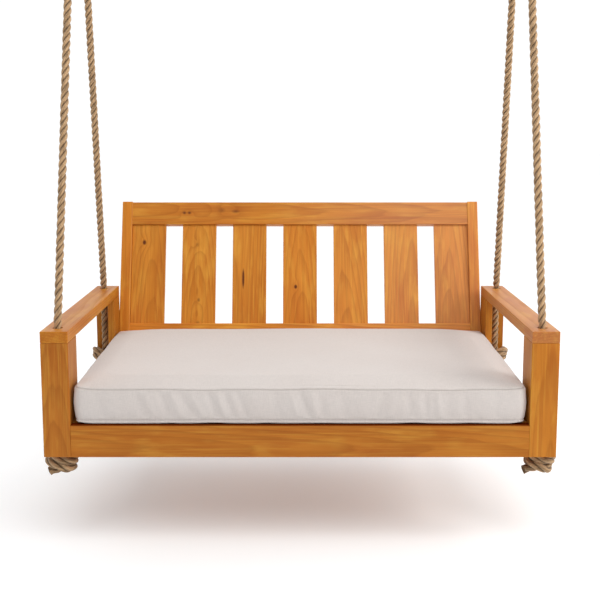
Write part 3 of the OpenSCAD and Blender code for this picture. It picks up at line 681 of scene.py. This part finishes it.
    # painted shade: the cushion's contact shadow along the board's upper edge, darkened and given less shine (the
    # argument says where it starts, in mm across)
    shine = 0.32
    if painted_shade:
        pe = N_(nt, "ShaderNodeSeparateXYZ")
        nt.links.new(p, pe.inputs[0])
        k = math_(nt, "DIVIDE", math_(nt, "SUBTRACT", pe.outputs[1], painted_shade / 1000.0), 0.0035, clamp=True)
        base = mix_(nt, k, base, mix_(nt, 1.0, base, (0.30, 0.14, 0.13), "MULTIPLY"))
        shine = math_(nt, "MULTIPLY", math_(nt, "SUBTRACT", 1.0, k), 0.32)
    nt.links.new(base, bsdf.inputs["Base Color"])
    rg = math_(nt, "ADD", rough - 0.08, math_(nt, "MULTIPLY", late, 0.06))
    rg = math_(nt, "ADD", rg, math_(nt, "MULTIPLY", fib, 0.16))
    nt.links.new(rg, bsdf.inputs["Roughness"])
    if painted_shade:
        nt.links.new(shine, bsdf.inputs["Specular IOR Level"])
    else:
        bsdf.inputs["Specular IOR Level"].default_value = shine
    bsdf.inputs["Specular Tint"].default_value = (1.0, 0.74, 0.48, 1)
    h = math_(nt, "ADD", math_(nt, "MULTIPLY", late, 0.5), math_(nt, "MULTIPLY", fib, 0.7))
    bump = N_(nt, "ShaderNodeBump")
    bump.inputs["Strength"].default_value = 0.35
    bump.inputs["Distance"].default_value = 0.0006
    nt.links.new(h, bump.inputs["Height"])
    nt.links.new(bump.outputs[0], bsdf.inputs["Normal"])
    return m


def paint(node, mat):
    o = NODES[node]
    if not o.material_slots:
        o.data.materials.append(mat)
    for s in o.material_slots:
        s.material = mat


def centre(node):
    lo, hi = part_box(node)
    return [(a + b) / 2 for a, b in zip(lo, hi)]


XA, YA, ZA = (1, 0, 0), (0, 1, 0), (0, 0, 1)
LEAN = math.radians(19.34)
UP = (0, math.sin(LEAN), math.cos(LEAN))
OUT = (0, -math.cos(LEAN), math.sin(LEAN))
FRONT = (0, -1, 0)
for node, along, face, kw in (
        # the front rail carries painted shade along its top, under the cushion
        ("front_rail", XA, FRONT, dict(tone=0.835, red=0.6, ring=11, pith=(-35, 90), tilt=(0.02, 0.035), seed=1.3, painted_shade=50.3)),
        ("rear_rail", XA, FRONT, dict(tone=0.86, ring=10, pith=(20, 60), tilt=(0.01, 0.03), seed=2.2)),
        ("side_rail_left", YA, (-1, 0, 0), dict(tone=0.9, ring=9, pith=(10, 50), tilt=(0.03, 0.04), seed=3.4)),
        ("side_rail_right", YA, (1, 0, 0), dict(tone=0.95, ring=9, pith=(-15, 60), tilt=(0.02, 0.05), seed=4.9)),
        ("mid_beam", XA, FRONT, dict(tone=0.85, ring=10, pith=(0, 70), tilt=(0.0, 0.03), seed=5.1)),
        ("front_cleat", XA, FRONT, dict(tone=0.85, ring=8, pith=(30, 50), seed=6.2)),
        ("rear_cleat", XA, FRONT, dict(tone=0.85, ring=8, pith=(-30, 50), seed=7.7)),
        ("front_post_left", ZA, FRONT, dict(tone=0.80, red=0.8, ring=10, pith=(8, 70), tilt=(0.0, 0.06), seed=8.1, streaks=1.4)),
        ("front_post_right", ZA, FRONT, dict(tone=0.95, red=0.2, ring=11, pith=(-25, 80), tilt=(-0.02, 0.03), seed=9.6, streaks=1.3)),
        ("armrest_left", YA, ZA, dict(tone=0.98, ring=9, pith=(70, 330), tilt=(0.005, 0.004), seed=10.4, contrast=0.7, wave=0.6)),
        # painted sheen on the right-hand boards: the right armrest, the right stile, both back rails and slats 5 to 7
        ("armrest_right", YA, ZA, dict(tone=1.00, ring=9, pith=(-60, 300), tilt=(0.005, -0.006), seed=11.8, contrast=0.7, wave=0.6, painted_sheen=0.7)),
        ("rear_post_left", ZA, (-1, 0, 0), dict(tone=0.9, ring=9, pith=(0, 60), seed=12.5)),
        ("rear_post_right", ZA, (1, 0, 0), dict(tone=0.95, ring=9, pith=(0, 60), seed=13.5)),
        ("rear_post_back_left", ZA, FRONT, dict(tone=0.86, ring=9, pith=(0, 50), seed=14.5)),
        ("rear_post_back_right", ZA, FRONT, dict(tone=0.92, ring=9, pith=(0, 50), seed=15.5)),
        # the left stile carries a painted highlight along its inner front arris
        ("back_stile_left", UP, OUT, dict(tone=1.26, highlight_arris=(-21.5, 32.0), ring=9, pith=(30, 60), tilt=(0.02, 0.02), seed=16.5)),
        ("back_stile_right", UP, OUT, dict(tone=1.25, painted_sheen=0.7, ring=9, pith=(-30, 60), tilt=(0.02, 0.02), seed=17.5)),
        ("back_top_rail", XA, OUT, dict(tone=1.07, red=0.25, painted_sheen=1.35, ramp=(-150, 650), ring=12, pith=(10, 70), tilt=(0.015, 0.045), seed=18.5,
                                        knots=((-487, 2, 6.5, 8, 0.95), (-466, 2, 6.5, 8, 0.95), (-271, 8, 7.5, 15, 0.7), (-330, 13, 10, 15, 0.4)))),
        ("back_bottom_rail", XA, OUT, dict(tone=1.30, painted_sheen=0.8, ramp=(-200, 650), ring=10, pith=(-20, 60), tilt=(0.02, 0.03), seed=19.5)),
):
    paint(node, wood_material("pine_" + node, along, face, centre(node), **kw))

slat_kw = [
    dict(tone=1.14, ring=10, pith=(-20, 62), tilt=(0.02, 0.05), seed=21.1, knots=((135, 19, 7.5, 10, 1.3),)),
    dict(tone=1.16, ring=12, pith=(6, 40), tilt=(0.0, 0.12), seed=22.3, wave=0.8, knots=((125, 8, 7, 9, 0.35), (-111, -1, 6, 8, 0.6), (-208, 1, 7, 9, 0.4))),
    dict(tone=1.14, ring=11, pith=(60, 60), tilt=(0.05, 0.03), seed=23.9, knots=((-20, 25.5, 4.0, 36, 1.8),)),
    dict(tone=1.18, ring=12, pith=(-5, 45), tilt=(0.01, 0.09), seed=24.2, knots=((-55, 18, 6.0, 8, 1.5),), red=0.3),
    dict(tone=1.20, ring=12, pith=(30, 55), tilt=(-0.03, 0.07), seed=25.8, painted_sheen=0.25),
    dict(tone=1.22, ring=11, pith=(-40, 60), tilt=(0.03, 0.04), seed=26.4, painted_sheen=0.7),
    dict(tone=1.21, ring=11, pith=(20, 58), tilt=(-0.02, 0.05), seed=27.7, painted_sheen=0.9),
]
for i, kw in enumerate(slat_kw):
    n = "back_slat_%d" % (i + 1)
    paint(n, wood_material("pine_" + n, UP, OUT, centre(n), **kw))
for i in range(7):
    n = "deck_slat_%d" % (i + 1)
    paint(n, wood_material("pine_" + n, YA, ZA, centre(n), tone=0.84 + 0.03 * (i % 3), ring=9 + (i % 3),
                           pith=(15 * (i % 4) - 20, 45), tilt=(0.01 * (i % 3), 0.04), seed=31.0 + 1.7 * i))
paint("frame_dowels", wood_material("beech_dowel", XA, FRONT, centre("frame_dowels"), tone=1.1, ring=6, seed=40.0))


# ------------------------------------------------------------------ metal
def metal_material(name, base, rough, scale, grain=0.5, spangle=0.0):
    m, nt, bsdf = new_mat(name)
    tc = N_(nt, "ShaderNodeTexCoord")
    a, _ = noise_(nt, tc.outputs["Object"], scale, 4.0, 0.6)
    b, _ = noise_(nt, tc.outputs["Object"], scale * 9, 3.0, 0.6)
    lo = tuple(c * 0.72 for c in base)
    col = ramp_(nt, a, [(0.3, lo), (0.7, base)])
    if spangle:
        v = N_(nt, "ShaderNodeTexVoronoi")
        nt.links.new(tc.outputs["Object"], v.inputs["Vector"])
        v.inputs["Scale"].default_value = 160.0
        col = mix_(nt, spangle, col, v.outputs["Color"], "SOFT_LIGHT")
    nt.links.new(col, bsdf.inputs["Base Color"])
    bsdf.inputs["Metallic"].default_value = 1.0
    r = math_(nt, "ADD", rough - 0.08, math_(nt, "MULTIPLY", b, 0.16))
    nt.links.new(r, bsdf.inputs["Roughness"])
    bump = N_(nt, "ShaderNodeBump")
    bump.inputs["Strength"].default_value = 0.15 * grain
    bump.inputs["Distance"].default_value = 0.0004
    nt.links.new(b, bump.inputs["Height"])
    nt.links.new(bump.outputs[0], bsdf.inputs["Normal"])
    return m


ZINC = metal_material("zinc_plated_steel", (0.62, 0.62, 0.60), 0.34, 90.0)
GALV = metal_material("galvanised_steel", (0.56, 0.57, 0.58), 0.45, 60.0, spangle=0.35)
for n in ("carriage_bolts", "bolt_nuts", "lag_screws", "frame_screws", "deck_screws"):
    paint(n, ZINC)
for n in NODES:
    if n.startswith("hanger_") or n.endswith("_thimbles"):
        paint(n, ZINC if n == "hanger_pins" else GALV)


# ------------------------------------------------------------------ cushion
def linen_material(name, tint=(0.655, 0.602, 0.572)):
    m, nt, bsdf = new_mat(name)
    tc = N_(nt, "ShaderNodeTexCoord")
    p = tc.outputs["Object"]
    # threads run with the cushion's sides; slubs show as faint longer streaks
    a, _ = noise_(nt, vmath(nt, "MULTIPLY", p, (55.0, 950.0, 950.0)), 1.0, 2.0, 0.6)
    b, _ = noise_(nt, vmath(nt, "MULTIPLY", p, (950.0, 55.0, 55.0)), 1.0, 2.0, 0.6)
    th = math_(nt, "MULTIPLY", math_(nt, "ADD", a, b), 0.5)
    c, _ = noise_(nt, vmath(nt, "MULTIPLY", p, (5.0, 5.0, 9.0)), 1.0, 2.0, 0.5)
    dk = tuple(x * 0.86 for x in tint)
    col = ramp_(nt, th, [(0.34, dk), (0.60, tint)])
    col = mix_(nt, math_(nt, "MULTIPLY", c, 0.18), col, (0.80, 0.66, 0.60), "MULTIPLY")
    # painted shade in the sewn channels: strong along the upper seam, faint along the lower
    for which, amount in (("from_upper_seam", 0.40), ("from_lower_seam", 0.04)):
        d = N_(nt, "ShaderNodeAttribute", attribute_name=which).outputs["Fac"]
        d = math_(nt, "DIVIDE", math_(nt, "ABSOLUTE", d), 2.6)
        k = math_(nt, "MULTIPLY", math_(nt, "SUBTRACT", 1.4, d, clamp=True), amount, clamp=True)
        col = mix_(nt, k, col, (0.30, 0.26, 0.23))
    nt.links.new(col, bsdf.inputs["Base Color"])
    bsdf.inputs["Roughness"].default_value = 0.9
    bsdf.inputs["Specular IOR Level"].default_value = 0.2
    bsdf.inputs["Sheen Weight"].default_value = 0.35
    bsdf.inputs["Sheen Roughness"].default_value = 0.6
    bump = N_(nt, "ShaderNodeBump")
    bump.inputs["Strength"].default_value = 0.35
    bump.inputs["Distance"].default_value = 0.0005
    nt.links.new(th, bump.inputs["Height"])
    nt.links.new(bump.outputs[0], bsdf.inputs["Normal"])
    return m


FOLDS = [(-652, 22, 0.25, 0.8), (-610, 30, 0.1, -0.5), (-523, 20, 0.45, 1.0), (-490, 14, 0.45, -0.7), (-442, 18, 0.35, 1.2),
         (-405, 14, 0.4, -0.8), (-371, 20, 0.6, 1.3), (-335, 14, 0.5, -0.6), (-285, 17, 0.35, 1.2), (-258, 12, 0.3, -0.8),
         (-231, 15, 0.4, 1.0), (-189, 16, 0.35, 0.9), (-150, 22, 0.2, -0.5), (-80, 24, 0.15, 0.7), (-20, 13, 0.3, -0.7),
         (14, 16, 0.35, 1.3), (44, 16, 0.2, -0.8), (71, 18, 0.1, 0.6), (139, 22, 0.0, 0.8), (200, 26, 0.0, -0.5),
         (261, 20, -0.35, 0.9), (300, 18, -0.2, -0.5), (357, 20, 0.1, 0.9), (409, 15, 0.05, 0.9), (450, 14, 0.1, -0.7),
         (484, 20, 0.0, 0.5), (538, 20, 0.1, 0.6), (590, 22, 0.1, -0.5), (640, 18, 0.0, 0.6)]
SEAM_Z, LOW_SEAM_Z = 225.0, 122.0


def ease(x, a, b):
    t = min(1.0, max(0.0, (x - a) / (b - a)))
    return t * t * (3 - 2 * t)


def cushion():
    hx, hy, rc = 737.0, 476.0, 26.0
    cy = 486.0
    grid = 11.0
    nx, ny, nz = int(round(2 * hx / grid)), int(round(2 * hy / grid)), 9

    def place(x, y):
        ax, ay = abs(x), abs(y)
        if ax > hx - rc and ay > hy - rc:
            a, b = (ax - hx + rc) / rc, (ay - hy + rc) / rc
            ax = hx - rc + rc * a * math.sqrt(1 - b * b / 2)
            ay = hy - rc + rc * b * math.sqrt(1 - a * a / 2)
        return math.copysign(ax, x), math.copysign(ay, y)

    def seam(x, y):
        # the upper sewn edge: it waves a little in front, climbs behind the front
        # corners, and lies highest along the back
        z = SEAM_Z + 9.0 * ease(y, -hy, -hy + 75) + 8.0 * ease(y, 150, 440)
        z += 2.2 * math.sin(x / 61.0 + 0.4) * math.sin(x / 143.0 + 1.0) * (1 - ease(y, -440, -380))
        for sx in (-1, 1):
            d = math.hypot(x - sx * hx, y + hy)
            z += 6.0 * math.exp(-(d / 42.0) ** 2)
            d = math.hypot(x - sx * hx, y - hy)
            z -= 8.0 * math.exp(-(d / 110.0) ** 2)
        return z

    def shear(y, z):
        # the rear leans against the raked back
        return 42.0 * ease(y, 300, hy) * (z - 110.0) / 125.0

    def inward(px, py):
        # a little narrower in front, between the posts
        return 0.998 + 0.013 * ease(py, -hy, 100), 1 - 0.003 * math.cos(math.pi * px / (2 * hx)) ** 2

    xs = np.linspace(-hx, hx, nx + 1)
    ys = np.linspace(-hy, hy, ny + 1)
    verts, top, bot, dt, db = [], {}, {}, [], []
    for j, y in enumerate(ys):
        for i, x in enumerate(xs):
            px, py = place(x, y)
            kx, ky = inward(px, py)
            px, py = px * kx, py * ky
            e = max(0.0, min(hx - abs(x), hy - abs(y)))
            z = seam(px, py) + 9.0 * (1 - math.exp(-e / 28.0))
            top[i, j] = len(verts)
            dt.append(-e)
            db.append(-200.0)
            verts.append((px, py + cy + shear(py, z), z))
    for j, y in enumerate(ys):
        for i, x in enumerate(xs):
            px, py = place(x, y)
            kx, ky = inward(px, py)
            px, py = px * kx, py * ky
            e = max(0.0, min(hx - abs(x), hy - abs(y)))
            z = 108.8 + (LOW_SEAM_Z - 108.8) * math.exp(-(e / 5.0))
            bot[i, j] = len(verts)
            dt.append(200.0)
            db.append(e)
            verts.append((px, py + cy + shear(py, z), z))
    loop = [(i, 0) for i in range(nx)] + [(nx, j) for j in range(ny)] + \
           [(i, ny) for i in range(nx, 0, -1)] + [(0, j) for j in range(ny, 0, -1)]
    rows = [[top[k] for k in loop]]
    for r in range(1, nz):
        f = r / nz
        row = []
        for k in loop:
            x, y, zt = verts[top[k]]
            xb, yb, zb = verts[bot[k]]
            bulge = 7.0 * math.sin(math.pi * f) ** 0.8
            d = np.array([x / hx, (y - cy) / hy])
            nrm = np.sign(d) * np.abs(d) ** 9
            l = np.linalg.norm(nrm)
            nrm = nrm / l if l > 1e-9 else nrm
            if y > cy + 300:
                nrm = nrm * 0.5
            nrm = nrm * np.array([0.7, 1.0])
            row.append(len(verts))
            dt.append(f * (SEAM_Z - LOW_SEAM_Z))
            db.append((f - 1) * (SEAM_Z - LOW_SEAM_Z))
            verts.append((x + (xb - x) * f + nrm[0] * bulge, y + (yb - y) * f + nrm[1] * bulge, zt + (zb - zt) * f))
        rows.append(row)
    rows.append([bot[k] for k in loop])
    faces = []
    for j in range(ny):
        for i in range(nx):
            faces.append((top[i, j], top[i + 1, j], top[i + 1, j + 1], top[i, j + 1]))
            faces.append((bot[i, j], bot[i, j + 1], bot[i + 1, j + 1], bot[i + 1, j]))
    m = len(loop)
    for r in range(nz):
        for k in range(m):
            k2 = (k + 1) % m
            faces.append((rows[r][k], rows[r + 1][k], rows[r + 1][k2], rows[r][k2]))
    V = np.array([S(*v) for v in verts])
    ob = link_mesh("seat_cushion", V, faces)
    me = ob.data
    rest = V.copy()
    seam_top, seam_bot = set(rows[0]), set(rows[-1])
    boxing = set(v for r in rows[1:-1] for v in r)
    # the sewn edges hold back the filling, and the strip round the side is a little long
    pin = ob.vertex_groups.new(name="sewn")
    pin.add(list(seam_top | seam_bot), 0.85, "REPLACE")
    pin.add([bot[k] for k in bot if bot[k] not in seam_bot], 0.6, "REPLACE")
    strip = ob.vertex_groups.new(name="strip")
    strip.add(list(boxing), 1.0, "REPLACE")
    strip.add(list(seam_top | seam_bot), 0.35, "REPLACE")
    rng = np.random.RandomState(5)
    co = V + rng.normal(0, 0.0003, V.shape)
    me.vertices.foreach_set("co", co.reshape(-1))
    me.update()
    mod = ob.modifiers.new("filling", "CLOTH")
    c = mod.settings
    c.quality = 6
    c.mass = 0.25
    c.tension_stiffness = 18
    c.compression_stiffness = 10
    c.shear_stiffness = 5
    c.bending_stiffness = 0.5
    c.tension_damping = 8
    c.compression_damping = 8
    c.shear_damping = 8
    c.air_damping = 2.0
    c.use_pressure = True
    c.uniform_pressure_force = 3.2
    c.effector_weights.gravity = 0.0
    c.vertex_group_mass = "sewn"
    c.pin_stiffness = 0.6
    c.vertex_group_shrink = "strip"
    c.shrink_min = 0.0
    c.shrink_max = -0.05
    mod.collision_settings.use_collision = False
    mod.collision_settings.use_self_collision = False
    mod.point_cache.frame_start = 1
    mod.point_cache.frame_end = 22
    for f in range(1, 19):
        scene.frame_set(f)
    dg = bpy.context.evaluated_depsgraph_get()
    ev = ob.evaluated_get(dg).to_mesh()
    new = np.zeros(len(ev.vertices) * 3)
    ev.vertices.foreach_get("co", new)
    new = new.reshape(-1, 3)
    ob.modifiers.clear()
    scene.frame_set(1)
    d = new - rest
    l = np.linalg.norm(d, axis=1)
    k = np.where(l > 0.009, 0.009 / np.maximum(l, 1e-9), 1.0)
    V = rest + d * k[:, None]
    me.vertices.foreach_set("co", V.reshape(-1))
    me.update()
    for name, vals in (("from_upper_seam", dt), ("from_lower_seam", db)):
        at = me.attributes.new(name, "FLOAT", "POINT")
        at.data.foreach_set("value", np.array(vals, float))
    # finer cloth, so that the seams and folds can be formed
    sub = ob.modifiers.new("refine", "SUBSURF")
    sub.levels = sub.render_levels = 2
    dg = bpy.context.evaluated_depsgraph_get()
    fine = bpy.data.meshes.new_from_object(ob.evaluated_get(dg))
    ob.modifiers.clear()
    ob.data = fine
    bpy.data.meshes.remove(me)
    fine.name = "seat_cushion"
    n = len(fine.vertices)
    co, no = np.zeros(n * 3), np.zeros(n * 3)
    fine.vertices.foreach_get("co", co)
    fine.vertices.foreach_get("normal", no)
    co, no = co.reshape(-1, 3), no.reshape(-1, 3)
    a, b = np.zeros(n), np.zeros(n)
    fine.attributes["from_upper_seam"].data.foreach_get("value", a)
    fine.attributes["from_lower_seam"].data.foreach_get("value", b)
    x = co[:, 0] * 1000
    y = co[:, 1] * 1000 + MEET[1]
    z = co[:, 2] * 1000 + CEILING
    on_side = (a > 0) & (b < 0)
    h = np.clip(a / (SEAM_Z - LOW_SEAM_Z), 0, 1)
    push = np.zeros(n)
    # the front's folds lean; the other sides have a few plain ones
    front = on_side & (no[:, 1] < -0.6)
    env = np.sin(math.pi * np.clip(h, 0, 1)) ** 0.6
    f = np.zeros(n)
    for x0, w, lean, amp in FOLDS:
        q = (x - x0 + lean * (z - 175.0)) / (0.8 * w)
        f += amp * np.exp(-q * q)
    push += np.where(front, -2.2 * f * env, 0)
    sides = on_side & (np.abs(no[:, 0]) > 0.6)
    g = np.sin(y / 31.0 + 0.9 * np.sin(y / 83.0) + (z - 175) / 45.0) * np.sin(y / 97.0 + 1.0)
    push += np.where(sides, 1.2 * g * env, 0)
    back_ = on_side & (no[:, 1] > 0.6)
    g = np.sin(x / 34.0 + 1.3 * np.sin(x / 91.0)) * np.sin(x / 120.0 + 2.0)
    push += np.where(back_, 1.2 * g * env, 0)
    # gathers that run in from the seams on the top
    rip = np.sin(x / 26.0 + 1.1 * np.sin(x / 71.0)) * np.sin(x / 139.0 + 0.6)
    near = np.exp(-((a + 22.0) / 22.0) ** 2) * (a < 0)
    push += 0.55 * rip * near * (y < 400)
    # broad unevenness of the top
    top_ = a < -20
    push += np.where(top_, 1.1 * np.sin(x / 190.0 + 0.5) * np.sin(y / 150.0 + 0.8) + 0.6 * np.sin(x / 83.0 + y / 120.0), 0)
    # sewn channels: a narrow groove with a soft lip on either side
    for d, depth, lip in ((a, 3.4, 0.9), (b, 0.7, 0.4)):
        d = np.where(np.abs(d) < 150, d, 999.0)
        push -= depth * np.exp(-(d / 2.4) ** 2)
        push += lip * np.exp(-((np.abs(d) - 7.0) / 3.6) ** 2)
    co = co + no * (push / 1000.0)[:, None]
    # lies flat on the deck, clear of the posts and the raked back
    below = (b > 0) & (b < 5000)
    # below the lower seam the cover turns in round a short curve, and then lies flat
    xm, ym = co[:, 0] * 1000, co[:, 1] * 1000 + MEET[1]
    lift = 8.5 * np.exp(-((741.0 - np.abs(xm)) / 34.0) ** 2)
    for x0, w, up in ((-424, 30, 1.6), (-285, 50, 2.8), (-107, 30, 1.8), (60, 60, 1.2), (370, 44, 2.6), (560, 50, 1.8)):
        lift += up * np.exp(-((xm - x0) / w) ** 2)
    lift = 108.7 + lift * np.clip((110 - ym) / 90.0, 0, 1)
    hang = 9.0
    turn = np.where(b < hang, LOW_SEAM_Z - b * (LOW_SEAM_Z - lift - 3.2) / hang, lift + 3.2 * np.exp(-(b - hang) / 2.5))
    # at the front the panel hangs straight down from the seam before it turns in
    ox = np.maximum(np.abs(xm) - (741.0 - rc), 0) * np.sign(xm)
    oy = -np.maximum((ym[below].min() + rc) - ym, 0)
    far = np.sqrt(ox * ox + oy * oy)
    out = np.where(b < hang, b, hang * np.exp(-(b - hang) / 18.0)) * np.clip((110 - ym) / 90.0, 0, 1) / 1000.0
    out = np.where(below & (far > 1e-6), out / np.maximum(far, 1e-6), 0)
    co[:, 0] += ox * out
    co[:, 1] += oy * out
    co[:, 2] = np.where(below, S(0, 0, 0)[2] + turn / 1000.0, co[:, 2])
    co[:, 2] = np.maximum(co[:, 2], S(0, 0, 108.5)[2])
    yy = co[:, 1] * 1000 + MEET[1]
    zz = co[:, 2] * 1000 + CEILING
    wide = np.where((yy < 155) | (yy > 890), 0.7455, 0.7530)
    co[:, 0] = np.clip(co[:, 0], -wide, wide)
    limit = 931.0 + 1.5 / math.cos(math.radians(19.34)) + zz * math.tan(math.radians(19.34))
    co[:, 1] = (np.clip(yy, 3.0, limit) - MEET[1]) / 1000.0
    fine.vertices.foreach_set("co", co.reshape(-1))
    fine.update()
    return ob


cush = cushion()
cush.data.materials.clear()
LINEN = linen_material("oatmeal_linen")
cush.data.materials.append(LINEN)
cush.data.polygons.foreach_set("use_smooth", [True] * len(cush.data.polygons))
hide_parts("cushion_cover", "cushion_core")
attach(cush, "cushion")

# ------------------------------------------------------------------ floor and light
FLOOR = -310.0


def floor():
    me = bpy.data.meshes.new("floor")
    z = S(0, 0, FLOOR)[2]
    me.from_pydata([(-200, -30, z), (200, -30, z), (200, 400, z), (-200, 400, z)], [], [(0, 1, 2, 3)])
    ob = bpy.data.objects.new("floor", me)
    scene.collection.objects.link(ob)
    m, nt, bsdf = new_mat("floor_white")
    bsdf.inputs["Base Color"].default_value = (0.83, 0.842, 0.85, 1)
    bsdf.inputs["Roughness"].default_value = 0.95
    bsdf.inputs["Specular IOR Level"].default_value = 0.1
    # an opal floor, lit a little from beneath
    bsdf.inputs["Emission Color"].default_value = (0.98, 1.0, 1.02, 1)
    bsdf.inputs["Emission Strength"].default_value = 0.225
    me.materials.append(m)
    return ob


floor()

# A white studio wall behind the swing, and a dimmer room before it.
world = bpy.data.worlds.new("studio")
scene.world = world
world.use_nodes = True
wn = world.node_tree
bg = [x for x in wn.nodes if x.type == "BACKGROUND"][0]
wtc = N_(wn, "ShaderNodeTexCoord")
wsep = N_(wn, "ShaderNodeSeparateXYZ")
wn.links.new(wtc.outputs["Generated"], wsep.inputs[0])
wt = N_(wn, "ShaderNodeMapRange", interpolation_type="SMOOTHSTEP")
wn.links.new(wsep.outputs[1], wt.inputs["Value"])
wt.inputs["From Min"].default_value = -0.35
wt.inputs["From Max"].default_value = 0.45
wt.inputs["To Min"].default_value = 0.158
wt.inputs["To Max"].default_value = 1.04
wn.links.new(wt.outputs[0], bg.inputs[1])
bg.inputs[0].default_value = (1.0, 1.0, 1.0, 1)


def area(name, loc, target, size, power, color=(1, 1, 1), size_y=None):
    li = bpy.data.lights.new(name, "AREA")
    li.energy = power
    li.size = size
    if size_y:
        li.shape = "RECTANGLE"
        li.size_y = size_y
    li.color = color
    ob = bpy.data.objects.new(name, li)
    scene.collection.objects.link(ob)
    ob.location = loc
    d = Vector(target) - Vector(loc)
    ob.rotation_euler = d.to_track_quat("-Z", "Y").to_euler()
    return ob


def sun(name, direction, strength, angle, color=(1, 1, 1)):
    li = bpy.data.lights.new(name, "SUN")
    li.energy = strength
    li.angle = math.radians(angle)
    li.color = color
    ob = bpy.data.objects.new(name, li)
    scene.collection.objects.link(ob)
    ob.rotation_euler = Vector(direction).to_track_quat("-Z", "Y").to_euler()
    return ob


mid = S(0, 500, 300)
sun("ceiling_bank", (-0.02, 0.68, -1.0), 1.48, 47)
area("key", (4.6, -1.55, 0.9), mid, 2.2, 132, (1.0, 0.985, 0.96))
area("softbox", (1.9, -3.9, 1.3), mid, 1.3, 11, (1.0, 0.985, 0.96))

scene.view_settings.view_transform = "Standard"
scene.view_settings.look = "None"
